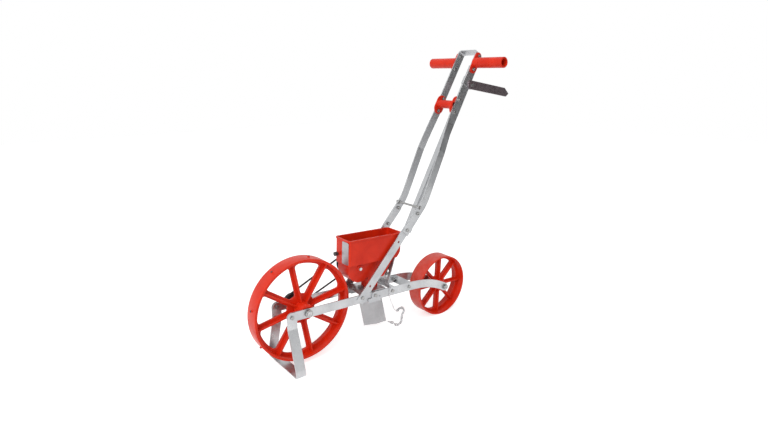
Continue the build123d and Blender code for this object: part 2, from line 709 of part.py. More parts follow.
# Saddle: folded channel between the rails that carries the hopper
shoe_up = (-math.sin(math.radians(SHOE_LEAN)), 0, math.cos(math.radians(SHOE_LEAN)))
rail_in = RAIL_HALF - STRIP_T
saddle_l = SADDLE_REAR_X - SADDLE_FRONT_X
saddle_h = SADDLE_TOP_Z - SADDLE_LOW_Z
saddle_mid = Pos((SADDLE_FRONT_X + SADDLE_REAR_X) / 2, (SADDLE_TOP_Z + SADDLE_LOW_Z) / 2)
saddle = side(saddle_mid * Rectangle(saddle_l, saddle_h), -rail_in, rail_in)
saddle = fillet(
    saddle.edges().filter_by(Axis.Y).group_by(Axis.Z)[0], SADDLE_CORNER_R
)
saddle_room = saddle_mid * Pos(0, -SHEET_T) * Rectangle(2 * saddle_l, saddle_h)
saddle -= side(saddle_room, -rail_in + SHEET_T, rail_in - SHEET_T)
saddle -= Pos(0, 0, -2 * SHEET_T) * extrude(chute_plan * chute_room, amount=4 * SHEET_T)
saddle_under_z = SADDLE_TOP_Z - SHEET_T
saddle -= slanted(shank_section(2 * RUN_GAP), saddle_under_z - SHEET_T, SADDLE_TOP_Z + SHEET_T)
for point in [RAIL_JOINT, SADDLE_BOLT]:
    saddle -= hole(point)
parts["hopper_saddle"] = [saddle]

# Hopper rear bracket: cross strap on the rails with a slotted leaf up to the sloping wall
strap_plan = Pos((BRACKET_FRONT_X + BRACKET_REAR_X) / 2, (BRACKET_TOP_Z + BRACKET_LOW_Z) / 2)
strap_l = BRACKET_REAR_X - BRACKET_FRONT_X
strap_h = BRACKET_TOP_Z - BRACKET_LOW_Z
bracket = side(strap_plan * Rectangle(strap_l, strap_h), -rail_in, rail_in)
strap_room = strap_plan * Pos(0, -SHEET_T) * Rectangle(2 * strap_l, strap_h)
bracket -= side(strap_room, -rail_in + SHEET_T, rail_in - SHEET_T)
tab_foot_x, tab_foot_z = slope_point(BRACKET_TAB_START)
tab_start = (tab_foot_x + SHEET_T / 2 * slope_z, tab_foot_z - SHEET_T / 2 * slope_x)
tab_end = (tab_start[0] + BRACKET_TAB_L * slope_x, tab_start[1] + BRACKET_TAB_L * slope_z)
leaf_line = Polyline((BRACKET_KNEE[0], BRACKET_TOP_Z - SHEET_T), BRACKET_KNEE, tab_start, tab_end)
bracket += side(trace(leaf_line, line_width=SHEET_T), -BRACKET_HALF, BRACKET_HALF)
leaf_run = tab_start[0] - BRACKET_KNEE[0]
leaf_rise = tab_start[1] - BRACKET_KNEE[1]
adjust_at = (BRACKET_KNEE[0] + ADJUST_AT * leaf_run, BRACKET_KNEE[1] + ADJUST_AT * leaf_rise)
leaf_l = math.hypot(leaf_run, leaf_rise)
leaf_back = (leaf_rise / leaf_l, 0, -leaf_run / leaf_l)
adjust_plane = Plane(
    origin=(adjust_at[0], ADJUST_Y, adjust_at[1]),
    x_dir=(leaf_run / leaf_l, 0, leaf_rise / leaf_l),
    z_dir=leaf_back,
)
adjust_slot = SlotOverall(ADJUST_SLOT_L, 2 * (BOLT_R + BOLT_GAP))
bracket -= extrude(adjust_plane * adjust_slot, amount=2 * SHEET_T, both=True)
bracket -= hole(BRACKET_BOLT)
parts["hopper_rear_bracket"] = [bracket]
adjust_seat = adjust_plane.offset(SHEET_T / 2).origin
parts["hopper_adjust_bolt"] = [
    bolt(adjust_seat, leaf_back, SHEET_T + NUT_H + BOLT_END),
    nut(adjust_seat, leaf_back, SHEET_T),
]

# Rear cross plate: leaning strip with a tab on each rail
cross = side(
    trace(Line(CROSS_LOW, CROSS_HIGH), line_width=STRIP_T), -rail_in, rail_in
)
cross_tab = Pos(*CROSS_BOLT) * RectangleRounded(
    2 * CROSS_TAB_HALF, 2 * CROSS_TAB_HALF, CROSS_TAB_HALF / 2
)
cross_ear = side(cross_tab, -rail_in, -rail_in + SHEET_T)
cross += cross_ear + mirrored(cross_ear)
parts["rear_cross_plate"] = [cross - hole(CROSS_BOLT)]

# Opener plates outside the rails and the bolts through the rails
opener_plate_w = OPENER_PLATE_REAR_X - OPENER_PLATE_FRONT_X
opener_plate_h = OPENER_PLATE_STEP_Z - OPENER_PLATE_LOW_Z
opener_plate_face = Pos(
    (OPENER_PLATE_FRONT_X + OPENER_PLATE_REAR_X) / 2,
    (OPENER_PLATE_STEP_Z + OPENER_PLATE_LOW_Z) / 2,
) * Rectangle(opener_plate_w, opener_plate_h)
opener_plate_face += Pos(*SADDLE_BOLT) * Circle(OPENER_TAB_R)
opener_plate_face += Pos(SADDLE_BOLT[0], OPENER_PLATE_STEP_Z) * Rectangle(
    2 * OPENER_TAB_R, 2 * OPENER_TAB_R + 2 * OPENER_PLATE_STEP_Z
)
opener_plate = side(opener_plate_face, -RAIL_HALF, -bar_out) - hole(SADDLE_BOLT)
parts["left_opener_plate"] = [opener_plate]
parts["right_opener_plate"] = [mirrored(opener_plate)]
plated_grip = 2 * STRIP_T + SHEET_T
parts["frame_bolts"] = []
for point in [RAIL_JOINT, SADDLE_BOLT]:
    parts["frame_bolts"] += bolt_pair(point, -bar_out, -1, plated_grip)
for point in [BRACKET_BOLT, CROSS_BOLT]:
    parts["frame_bolts"] += bolt_pair(point, -RAIL_HALF, -1, STRIP_T + SHEET_T)

# Opener shoe: folded sheet nose welded to a shank that slides in a guide under the saddle
nose_turn = math.atan2(SHOE_HALF, SHOE_NOSE_L)
shoe_plan = Polygon(
    (0, 0),
    (SHOE_NOSE_L, -SHOE_HALF),
    (SHOE_L, -SHOE_REAR_HALF),
    (SHOE_L, SHOE_REAR_HALF),
    (SHOE_NOSE_L, SHOE_HALF),
    align=None,
)
shoe_room = Polygon(
    (SHOE_WALL / math.sin(nose_turn), 0),
    (SHOE_NOSE_L, -SHOE_HALF + SHOE_WALL / math.cos(nose_turn)),
    (SHOE_L + SHOE_WALL, -SHOE_REAR_HALF + SHOE_WALL),
    (SHOE_L + SHOE_WALL, SHOE_REAR_HALF - SHOE_WALL),
    (SHOE_NOSE_L, SHOE_HALF - SHOE_WALL / math.cos(nose_turn)),
    align=None,
)
shoe_top_z = SHOE_FOOT_Z + SHOE_H
shoe = slanted(shoe_plan - shoe_room, SHOE_FOOT_Z, shoe_top_z)
shoe += slanted(shank_section(), SHANK_LOW_Z, SHANK_TOP_Z)
parts["opener_shoe"] = [shoe]
guide_plan = Pos(SHANK_BACK + SHANK_L / 2, 0) * Rectangle(SHANK_L + 2 * GUIDE_WALL, 2 * GUIDE_HALF)
guide = slanted(guide_plan, GUIDE_LOW_Z, saddle_under_z)
guide -= slanted(shank_section(RUN_GAP), GUIDE_LOW_Z - SHEET_T, SADDLE_TOP_Z)
guide_mid_z = (GUIDE_LOW_Z + saddle_under_z) / 2
guide_mid_x = SHOE_TIP_X - (guide_mid_z - SHOE_FOOT_Z) * math.tan(math.radians(SHOE_LEAN))
clamp_point = (guide_mid_x + SHANK_BACK + SHANK_L / 2, guide_mid_z)
guide -= pin(clamp_point, BOLT_R + BOLT_GAP, -2 * GUIDE_HALF, 0)
parts["opener_guide"] = [guide]
clamp_seat = (clamp_point[0], -GUIDE_HALF, clamp_point[1])
clamp_l = GUIDE_HALF - SHANK_T / 2 - RUN_GAP
parts["opener_clamp_bolt"] = [bolt(clamp_seat, (0, -1, 0), clamp_l)]

# Front stand: strip bent to a wide foot, drawn upright so that its foot is level when parked
tilt_cos, tilt_sin = lift(PARK_TILT)
axle_height = REAR_R + REAR_AXLE_DROP * tilt_cos + REAR_AXLE_X * tilt_sin
stand_h = axle_height - STAND_PIVOT_X * tilt_sin
leg_y = RAIL_HALF + RUN_GAP + STRIP_T / 2
crease = (leg_y, -STAND_CREASE_DROP)
toe = (STAND_TOE_HALF - STRIP_T / 2, STAND_TOE_H - stand_h)
foot = (STAND_FOOT_HALF - STRIP_T / 2, STRIP_T / 2 - stand_h)
stand_line = FilletPolyline(
    (leg_y, STAND_W),
    crease,
    toe,
    foot,
    (-foot[0], foot[1]),
    (-toe[0], toe[1]),
    (-crease[0], crease[1]),
    (-leg_y, STAND_W),
    radius=[
        STAND_CREASE_R, STAND_TOE_R, STAND_FOOT_R, STAND_FOOT_R, STAND_TOE_R, STAND_CREASE_R
    ],
)
stand = extrude(
    Plane.YZ * trace(stand_line, line_width=STRIP_T), amount=STAND_W / 2, both=True
)
stand_outline = Circle(STAND_W / 2) + Pos(0, -stand_h) * Rectangle(STAND_W, 2 * stand_h)
stand &= side(stand_outline, -2 * STAND_FOOT_HALF, 2 * STAND_FOOT_HALF)
stand -= hole((0, 0), BOLT_R + BEARING_GAP)
stand_pivot = (STAND_PIVOT_X, 0)
parts["kickstand"] = [Pos(STAND_PIVOT_X, 0, 0) * Rot(0, -PARK_TILT, 0) * stand]
pivot_seat = -leg_y - STRIP_T / 2 - RUN_GAP
parts["kickstand_pivot_bolts"] = bolt_pair(
    stand_pivot, pivot_seat, -1, 2 * STRIP_T + 2 * RUN_GAP
)

# Row marker, stowed: angle-section arm lying behind the brace and the spreader rod
brace_stand_off = BRACE_R + RUN_GAP
rod_stand_off = ROD_R + RUN_GAP
span_x = brace_pos[0] - ROD_POS[0]
span_z = brace_pos[1] - ROD_POS[1]
span = math.hypot(span_x, span_z)
arm_angle = math.degrees(
    math.atan2(span_z, span_x) - math.asin((brace_stand_off - rod_stand_off) / span)
)
arm_x, arm_z = lift(arm_angle)
arm_foot = (
    ROD_POS[0] + rod_stand_off * arm_z - ARM_BELOW_ROD * arm_x,
    ROD_POS[1] - rod_stand_off * arm_x - ARM_BELOW_ROD * arm_z,
)
arm_line = Pos(*arm_foot) * Rot(0, 0, arm_angle)
arm_leg_face = arm_line * Pos(ARM_L / 2, -ARM_LEG / 2) * Rectangle(ARM_L, ARM_LEG)
arm_front_face = arm_line * Pos(ARM_L / 2, -ARM_T / 2) * Rectangle(ARM_L, ARM_T)
arm = side(arm_leg_face, -ARM_Y, -ARM_Y + ARM_T) + side(arm_front_face, -ARM_Y, -ARM_Y + ARM_FACE)
mark_back = STRIP_W / 2 + BOLT_R + 2 * BOLT_GAP
mark_bolt = handle_point(MARK_DOWN, -mark_back)
parts["marker_arm"] = [arm - hole(mark_bolt)]

# Marker clamp round the left side of the hoop
clamp_line = Pos(*handle_point(MARK_DOWN)) * Rot(0, 0, handle_angle)
clamp_front = STRIP_W / 2 + RUN_GAP
clamp_rear = mark_back + CLAMP_REAR
clamp_out = HANDLE_TOP_HALF + RUN_GAP + CLAMP_T
clamp_in = top_in - RUN_GAP - CLAMP_T
clamp_depth = clamp_front + CLAMP_T + clamp_rear
clamp_face = Pos(0, clamp_front + CLAMP_T - clamp_depth / 2) * Rectangle(
    2 * CLAMP_HALF_W, clamp_depth
)
clamp_room = Pos(0, clamp_front - clamp_depth) * Rectangle(4 * CLAMP_HALF_W, 2 * clamp_depth)
clamp = side(clamp_line * clamp_face, -clamp_out, -clamp_in)
clamp -= side(clamp_line * clamp_room, -clamp_out + CLAMP_T, -clamp_in - CLAMP_T)
parts["marker_clamp"] = [clamp - hole(mark_bolt)]
blade_in = -clamp_out - RUN_GAP
blade_out = blade_in - BLADE_T
blade_tip = BLADE_L - BLADE_ROOT
blade_face = Polygon(
    (-BLADE_ROOT, BLADE_W / 2),
    (blade_tip - BLADE_TIP_L, BLADE_W / 2),
    (blade_tip, -BLADE_W / 12),
    (blade_tip - BLADE_TIP_L / 2, -BLADE_W / 2),
    (-BLADE_ROOT, -BLADE_W / 2),
    align=None,
)
blade_face = fillet(blade_face.vertices().group_by(Axis.X)[0], BLADE_ROOT_R)
blade = side(Pos(*mark_bolt) * Rot(0, 0, -BLADE_DROP) * blade_face, blade_in, blade_out)
parts["marker_blade"] = [blade - hole(mark_bolt, BOLT_R + BEARING_GAP)]
mark_seat = (mark_bolt[0], blade_out - RUN_GAP, mark_bolt[1])
mark_grip = -mark_seat[1] - ARM_Y + ARM_T
parts["marker_clamp_bolt"] = [
    bolt(mark_seat, (0, -1, 0), mark_grip + NUT_H + BOLT_END),
    nut(mark_seat, (0, -1, 0), mark_grip),
]

# Drag chain: closed wire links strung along a route, each turned a quarter to the next
chain_line = FilletPolyline(*CHAIN_ROUTE, radius=CHAIN_BENDS)
link_pitch = LINK_L - 4 * LINK_WIRE_R - LINK_SLACK
link_count = int(chain_line.length / link_pitch)
link_loop = SlotCenterToCenter(LINK_L - LINK_W, LINK_W - 2 * LINK_WIRE_R).wire()
link_start = Plane(origin=link_loop @ 0, z_dir=link_loop % 0)
link = sweep(link_start * Circle(LINK_WIRE_R), path=link_loop)
parts["drag_chain"] = []
for index in range(link_count):
    share = (index + 0.5) * link_pitch / chain_line.length
    heading = chain_line % share
    level = heading.cross(Vector(0, 1, 0)).normalized()
    if index % 2:
        level = heading.cross(level).normalized()
    place = Plane(origin=chain_line @ share, x_dir=heading, z_dir=level)
    parts["drag_chain"].append(place.location * link)
hook_shift = LINK_L / 2 - 2 * LINK_WIRE_R - WIRE_R - RUN_GAP
hook_at = place.origin + place.x_dir * hook_shift
hook_way = place.z_dir if place.z_dir.Y > 0 else -place.z_dir
hook_run = [hook_at - hook_way * WIRE_HOOK_L, hook_at + hook_way * LINK_W / 2]
wire_line = FilletPolyline(*WIRE_ROUTE, *hook_run, radius=WIRE_BENDS)
wire_start = Plane(origin=wire_line @ 0, z_dir=wire_line % 0)
parts["chain_hanger_wire"] = [sweep(wire_start * Circle(WIRE_R), path=wire_line)]

# Park the machine: nose up, ground at Z = 0, origin under the middle of its outline
tilted = Pos(0, 0, axle_height) * Rot(0, PARK_TILT, 0)
parked = {}
for name, pieces in parts.items():
    parked[name] = [tilted * solid for piece in pieces for solid in piece.solids()]
whole = Compound([solid for solids in parked.values() for solid in solids]).bounding_box()
centred = Pos(-(whole.min.X + whole.max.X) / 2, 0, 0)
os.makedirs("parts", exist_ok=True)
for name, solids in parked.items():
    placed = [centred * solid for solid in solids]
    export_step(placed[0] if len(placed) == 1 else Compound(placed), f"parts/{name}.step")
print("nodes", len(parked), "front axle at", centred.position.X, axle_height)
print("arm angle", arm_angle, "mark bolt", mark_bolt, "links", link_count, "lowest", whole.min.Z)
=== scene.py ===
import json
import math

import bpy
import numpy as np
from bpy.props import FloatProperty, FloatVectorProperty, IntProperty, PointerProperty
from mathutils import Euler, Matrix, Vector

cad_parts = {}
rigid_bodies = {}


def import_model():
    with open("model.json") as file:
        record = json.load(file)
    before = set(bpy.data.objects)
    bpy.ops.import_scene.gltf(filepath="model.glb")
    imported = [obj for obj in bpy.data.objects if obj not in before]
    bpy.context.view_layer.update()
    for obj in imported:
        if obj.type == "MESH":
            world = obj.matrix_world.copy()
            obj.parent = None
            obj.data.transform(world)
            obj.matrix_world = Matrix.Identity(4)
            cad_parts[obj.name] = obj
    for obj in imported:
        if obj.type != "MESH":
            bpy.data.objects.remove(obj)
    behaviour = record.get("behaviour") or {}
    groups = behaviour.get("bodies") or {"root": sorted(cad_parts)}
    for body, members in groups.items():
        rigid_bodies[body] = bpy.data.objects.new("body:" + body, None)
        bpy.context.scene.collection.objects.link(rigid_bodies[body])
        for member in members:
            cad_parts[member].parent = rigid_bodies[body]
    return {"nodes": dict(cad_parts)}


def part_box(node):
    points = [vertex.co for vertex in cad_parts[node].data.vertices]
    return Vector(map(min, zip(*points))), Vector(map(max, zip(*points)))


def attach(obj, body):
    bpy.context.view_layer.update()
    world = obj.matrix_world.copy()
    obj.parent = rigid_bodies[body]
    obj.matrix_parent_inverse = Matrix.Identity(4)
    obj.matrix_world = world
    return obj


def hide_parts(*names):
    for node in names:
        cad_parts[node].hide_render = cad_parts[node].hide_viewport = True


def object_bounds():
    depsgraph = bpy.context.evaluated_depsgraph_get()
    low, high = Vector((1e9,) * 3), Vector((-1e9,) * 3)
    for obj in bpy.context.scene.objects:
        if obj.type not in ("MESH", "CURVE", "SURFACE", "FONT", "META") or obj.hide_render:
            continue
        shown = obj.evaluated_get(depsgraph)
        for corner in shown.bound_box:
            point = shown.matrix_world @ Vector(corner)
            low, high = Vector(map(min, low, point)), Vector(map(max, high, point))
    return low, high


bl_info = {
    "name": "Garden seeder looks",
    "version": (1, 0, 0),
    "blender": (4, 5, 0),
    "location": "3D View > Sidebar > Seeder",
    "description": "Moulded wheels, fasteners, drag chain, finishes and stage of a garden seeder",
    "category": "Object",
}

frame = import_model()
CAD_LOW, CAD_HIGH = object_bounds()

MM = 0.001

# The studio, in metres: floor, the grey card that the handle mirrors, lamps and the view's shift
FLOOR_REACH = 6.0
FLOOR_GAP = 0.0002
FLOOR_GLOW = 0.62
FLAG_X = (0.1, 3.2)
FLAG_Y = -1.0
FLAG_Z = (0.20, 1.6)
KEY_PLACE = (-1.3, -1.1, 2.6)
KEY_SIZE = 2.0
FILL_PLACE = (-2.4, -0.9, 0.9)
FILL_SIZE = 1.6
CAMERA_SHIFT = (-2.2 / 768, 0.6 / 768)

# Moulded and forged detail
RIM_EDGE = 1.2 * MM
HUB_EDGE = 1.5 * MM
SINK = 1.0 * MM
BOLT_RADIUS = 3.2 * MM
HEX_CROWN = 0.84
THREAD_ROOT = 0.93
UNDER_HEAD = 0.5 * MM
FASTENER_NODES = (
    "frame_bolts",
    "brace_bolts",
    "grip_bolts",
    "handle_joint_bolts",
    "kickstand_pivot_bolts",
    "marker_clamp_bolt",
    "opener_clamp_bolt",
    "hopper_adjust_bolt",
    "spreader_nuts",
    "rear_axle_bolt",
    "rear_axle_nut",
)


def paint(name, description, default):
    """Colour property in linear red, green and blue."""
    return FloatVectorProperty(
        name=name, description=description, default=default, subtype="COLOR", min=0.0, max=1.0
    )


def size(name, description, millimetres):
    """Length property with its default given in millimetres."""
    return FloatProperty(
        name=name,
        description=description,
        default=millimetres * MM,
        min=0.0,
        precision=5,
        subtype="DISTANCE",
        unit="LENGTH",
    )


def part_of_one(name, description, default):
    """Property that runs from 0 to 1."""
    return FloatProperty(
        name=name, description=description, default=default, min=0.0, max=1.0, subtype="FACTOR"
    )


def watts(name, description, default):
    """Power property of a lamp."""
    return FloatProperty(
        name=name, description=description, default=default, min=0.0, unit="POWER"
    )


def resting_turn(degrees):
    """Angle property that says how far round a wheel was parked."""
    return FloatProperty(
        name="Resting turn",
        description="Turn at which the wheel was parked",
        default=math.radians(degrees),
        unit="ROTATION",
        subtype="ANGLE",
    )


class SeederFinish(bpy.types.PropertyGroup):
    """Colours and surface sizes of every material on the seeder."""

    steel: paint("Strip steel", "Zinc-plated strip of the frame", (0.55, 0.56, 0.57))
    steel_shade: paint("Strip steel, dull", "Duller patches of the zinc", (0.43, 0.44, 0.46))
    steel_roughness: part_of_one("Strip roughness", "Mean roughness of the strip", 0.34)
    blade: paint("Marker blade", "Bare steel of the marker blade", (0.33, 0.27, 0.29))
    blade_shade: paint("Marker blade, dull", "Duller patches of the blade", (0.24, 0.19, 0.21))
    shoe: paint("Opener shoe", "Pressed steel of the opener shoe", (0.40, 0.40, 0.41))
    shoe_shade: paint("Opener shoe, dull", "Duller patches of the shoe", (0.33, 0.33, 0.34))
    spangle: size("Spangle", "Size of the crystals in the zinc", 4.5)
    fastener: paint("Fastener", "Plated bolts and nuts", (0.46, 0.46, 0.45))
    fastener_shade: paint("Fastener, dull", "Darker film in the plating", (0.25, 0.25, 0.25))
    bright: paint("Bright steel", "Axles, rod, wire and chain", (0.62, 0.62, 0.63))
    bright_shade: paint("Bright steel, dull", "Oil film on the bright steel", (0.36, 0.36, 0.37))
    red: paint("Red plastic", "Moulded wheels, hopper, grips and brace", (0.77, 0.030, 0.006))
    red_shade: paint("Red plastic, deep", "Deeper red where the wall is thick", (0.62, 0.019, 0.004))
    # Paler red for real scuffs, and along the edges, where it is partly wear and partly a painted
    # highlight.
    red_scuff_and_highlight: paint("Red plastic, scuffed", "Paler rubbed edges and scuffs", (0.80, 0.12, 0.06))
    red_roughness: part_of_one("Red roughness", "Mean roughness of the red plastic", 0.36)
    red_grain: size("Mould grain", "Size of the grain left by the mould", 0.7)
    # Pale colour for the press wheel's tread: partly dust, partly a painted sheen.
    tread_dust_and_sheen: paint("Tread bloom", "Pale bloom on the press wheel's tread", (0.62, 0.30, 0.27))
    tip: paint("Cleat tip", "Dark tips of the cleats", (0.06, 0.012, 0.010))
    black: paint("Black plastic", "Pulleys and bushes", (0.022, 0.022, 0.024))
    belt: paint("Belt", "Round drive belt", (0.014, 0.014, 0.015))
    aluminium: paint("Front plate", "Bare silver plate on the hopper", (0.46, 0.45, 0.47))
    edge: size("Edge radius", "Softened edge of sheet metal and mouldings", 0.45)


class WheelSizes:
    """Sizes that both wheels share."""

    web: size("Web thickness", "Thickness of the wheel's web", 5.0)
    rib: size("Rib thickness", "Thickness of the rib on each spoke", 4.0)
    spokes: IntProperty(name="Spokes", description="Number of spokes", default=8, min=3, max=24)


class SeederDriveWheel(WheelSizes, bpy.types.PropertyGroup):
    """Sizes of the front drive wheel, whose own radius comes from the frame."""

    rim: size("Rim thickness", "Wall of the rim", 7.0)
    width: size("Rim width", "Width of the tread", 46.0)
    hub: size("Hub radius", "Outside radius of the hub", 21.0)
    hub_half: size("Hub half length", "Half the length of the hub", 36.5)
    bore: size("Bore radius", "Radius of the hole for the axle", 6.4)
    spoke: size("Spoke width", "Width of each spoke", 17.0)
    rib_half: size("Rib half height", "Half the height of the ribs", 15.0)
    window_in: size("Window inner radius", "Inner radius of the windows", 42.0)
    window_out: size("Window outer radius", "Outer radius of the windows", 127.0)
    window_corner: size("Window corner", "Corner radius of the windows", 9.0)
    cleat: size("Cleat radius", "Radius of each traction cleat", 3.5)
    cleat_height: size("Cleat height", "How far a cleat stands above the tread", 3.6)
    phase: resting_turn(-10.0)


class SeederPressWheel(WheelSizes, bpy.types.PropertyGroup):
    """Sizes of the rear press wheel, whose own radius comes from the frame."""

    rim: size("Rim thickness", "Wall of the rim", 5.0)
    width: size("Rim width", "Width of the tread", 52.0)
    hub: size("Hub radius", "Outside radius of the hub", 17.0)
    hub_half: size("Hub half length", "Half the length of the hub", 31.0)
    bore: size("Bore radius", "Radius of the hole for the axle bolt", 5.05)
    spoke: size("Spoke width", "Width of each spoke", 12.0)
    rib_half: size("Rib half height", "Half the height of the ribs", 12.0)
    window_in: size("Window inner radius", "Inner radius of the windows", 31.0)
    window_out: size("Window outer radius", "Outer radius of the windows", 86.0)
    window_corner: size("Window corner", "Corner radius of the windows", 3.0)
    phase: resting_turn(2.5)


class SeederSmallParts(bpy.types.PropertyGroup):
    """Sizes of the fasteners' threads and of the drag chain's wire."""

    pitch: size("Thread pitch", "Distance between the turns of a thread", 1.0)
    thread: size("Thread length", "Length of the threaded end of a bolt", 9.0)
    wire: size("Chain wire", "Radius of the wire of each chain link", 1.75)


class SeederStage(bpy.types.PropertyGroup):
    """The camera of the product view and its studio light."""

    camera: FloatVectorProperty(
        name="Camera",
        description="Place of the camera",
        default=(-0.9457, -1.1827, 0.7724),
        subtype="TRANSLATION",
        unit="LENGTH",
    )
    turn: FloatVectorProperty(
        name="Camera turn",
        description="Tilt, roll and heading of the camera",
        default=(math.radians(74.8), 0.0, math.radians(-38.19)),
        subtype="EULER",
        unit="ROTATION",
    )
    lens: FloatProperty(
        name="Lens", description="Focal length in millimetres", default=24.84, min=1.0
    )
    sky: FloatProperty(
        name="Room light", description="Strength of the white room", default=0.5, min=0.0
    )
    key: watts("Key light", "Power of the large soft lamp", 34.0)
    fill: watts("Fill light", "Power of the lamp from the left", 16.0)
    floor: paint("Floor", "Colour of the floor", (0.86, 0.86, 0.86))


class Recipe:
    """Nodes of one material, added in the order in which they feed its shader."""

    def __init__(self, name):
        self.material = bpy.data.materials.new(name)
        self.material.use_nodes = True
        self.tree = self.material.node_tree
        self.shader = self.tree.nodes["Principled BSDF"]
        self.place = self.tree.nodes.new("ShaderNodeTexCoord").outputs["Object"]

    def add(self, kind, values=None, **settings):
        """New node with its settings and its inputs, each a value or another node's output."""
        node = self.tree.nodes.new(kind)
        for key, value in settings.items():
            setattr(node, key, value)
        for key, value in (values or {}).items():
            self.feed(node.inputs[key], value)
        return node

    def feed(self, socket, value):
        if isinstance(value, bpy.types.NodeSocket):
            self.tree.links.new(value, socket)
        else:
            socket.default_value = value

    def stretched(self, scale):
        """Object coordinates scaled along each axis, for grain that runs one way."""
        return self.add("ShaderNodeMapping", {"Vector": self.place, "Scale": scale}).outputs["Vector"]

    def noise(self, feature, detail=3.0, rough=0.55, at=None, distortion=0.0):
        """Noise whose lumps are about one feature size across, in metres."""
        node = self.add(
            "ShaderNodeTexNoise",
            {
                "Vector": at or self.place,
                "Scale": 1.0 / feature,
                "Detail": detail,
                "Roughness": rough,
                "Distortion": distortion,
            },
        )
        return node.outputs["Fac"]

    def cells(self, feature):
        """Random grey value for each cell of about one feature size."""
        node = self.add("ShaderNodeTexVoronoi", {"Vector": self.place, "Scale": 1.0 / feature})
        return self.add("ShaderNodeSeparateColor", {"Color": node.outputs["Color"]}).outputs["Red"]

    def span(self, value, low, high, to_low=0.0, to_high=1.0):
        """Map a range of a value to another range, clamped."""
        node = self.add(
            "ShaderNodeMapRange",
            {
                "Value": value,
                "From Min": low,
                "From Max": high,
                "To Min": to_low,
                "To Max": to_high,
            },
        )
        return node.outputs["Result"]

    def math(self, operation, first, second):
        node = self.add("ShaderNodeMath", operation=operation)
        self.feed(node.inputs[0], first)
        self.feed(node.inputs[1], second)
        return node.outputs["Value"]

    def blend(self, factor, first, second, mode="MIX"):
        node = self.add("ShaderNodeMix", data_type="RGBA", blend_type=mode)
        self.feed(node.inputs["Factor"], factor)
        self.feed(node.inputs[6], first)
        self.feed(node.inputs[7], second)
        return node.outputs[2]

    def worn(self, edge, amount, colour, pale):
        """Colour that turns pale along the edges, partly as wear and partly as a painted edge
        highlight.
        """
        return self.blend(self.math("MULTIPLY", edge, amount), colour, pale)

    def soft_edges(self, radius):
        """Rounded shading normal, and a mask that is 1 along the edges, where the recipes paint wear
        and a painted edge highlight.
        """
        rounded = self.add("ShaderNodeBevel", {"Radius": radius}, samples=4).outputs["Normal"]
        flat = self.add("ShaderNodeNewGeometry").outputs["Normal"]
        dot = self.add("ShaderNodeVectorMath", operation="DOT_PRODUCT")
        self.feed(dot.inputs[0], rounded)
        self.feed(dot.inputs[1], flat)
        return rounded, self.span(dot.outputs["Value"], 0.985, 0.80)

    def relief(self, normal, *layers):
        """Bump layers, each a height and a depth in metres, over a normal."""
        for height, depth in layers:
            values = {"Height": height, "Distance": depth, "Strength": 1.0, "Normal": normal}
            normal = self.add("ShaderNodeBump", values).outputs["Normal"]
        self.feed(self.shader.inputs["Normal"], normal)

    def finish(self, **values):
        for key, value in values.items():
            self.feed(self.shader.inputs[key.replace("_", " ")], value)
        return self.material


def rgba(colour):
    return (colour[0], colour[1], colour[2], 1.0)


def strip_steel(name, finish, pale, dull):
    """Zinc-plated strip: faint spangle, rolling lines, handling marks and paler edges, partly worn
    cut edges and partly a painted highlight.
    """
    recipe = Recipe(name)
    normal, edge = recipe.soft_edges(finish.edge)
    patches = recipe.noise(0.055, detail=4.0, distortion=0.6)
    spangle = recipe.cells(finish.spangle)
    lines = recipe.noise(0.0006, detail=2.0, at=recipe.stretched((0.04, 1.0, 1.0)))
    film = recipe.span(patches, 0.34, 0.70, 0.0, 0.62)
    colour = recipe.blend(film, rgba(pale), rgba(dull))
    tint = recipe.span(spangle, 0.0, 1.0, 0.95, 1.03)
    grey = recipe.add("ShaderNodeCombineColor", {"Red": tint, "Green": tint, "Blue": tint})
    colour = recipe.blend(1.0, colour, grey.outputs["Color"], "MULTIPLY")
    # Paler edges: partly wear, partly a painted edge highlight.
    colour = recipe.worn(edge, 0.45, colour, (0.80, 0.80, 0.81, 1.0))
    mean = finish.steel_roughness
    rough = recipe.span(patches, 0.3, 0.7, mean - 0.07, mean + 0.11)
    rough = recipe.math("ADD", rough, recipe.span(spangle, 0.0, 1.0, -0.04, 0.05))
    recipe.relief(normal, (lines, 0.000012), (recipe.noise(0.012, detail=2.0), 0.00003))
    return recipe.finish(Base_Color=colour, Metallic=0.9, Roughness=rough)


def plated_fastener(name, finish):
    """Zinc-plated fasteners: dark film in random patches, pale edges that are partly worn and partly
    a painted highlight, fine pitting.
    """
    recipe = Recipe(name)
    normal, edge = recipe.soft_edges(0.6 * finish.edge)
    film = recipe.span(recipe.noise(0.004, detail=4.0), 0.38, 0.68)
    colour = recipe.blend(film, rgba(finish.fastener), rgba(finish.fastener_shade))
    # Pale edges: partly wear, partly a painted edge highlight.
    colour = recipe.worn(edge, 0.6, colour, (0.72, 0.72, 0.71, 1.0))
    rough = recipe.span(recipe.noise(0.0012), 0.3, 0.7, 0.24, 0.46)
    recipe.relief(normal, (recipe.noise(0.0005, detail=2.0), 0.00002))
    return recipe.finish(Base_Color=colour, Metallic=1.0, Roughness=rough)


def drawn_steel(name, finish):
    """Bright drawn bar and wire: long fine scratches and a thin uneven oil film."""
    recipe = Recipe(name)
    normal, edge = recipe.soft_edges(0.5 * finish.edge)
    film = recipe.span(recipe.noise(0.009, detail=4.0, distortion=0.4), 0.35, 0.72)
    colour = recipe.blend(film, rgba(finish.bright), rgba(finish.bright_shade))
    # Paler edges: partly wear, partly a painted edge highlight.
    colour = recipe.worn(edge, 0.4, colour, (0.82, 0.82, 0.82, 1.0))
    scratch = recipe.noise(0.0004, detail=2.0, at=recipe.stretched((1.0, 0.08, 1.0)))
    rough = recipe.span(film, 0.0, 1.0, 0.20, 0.38)
    recipe.relief(normal, (scratch, 0.000008))
    return recipe.finish(Base_Color=colour, Metallic=1.0, Roughness=rough)


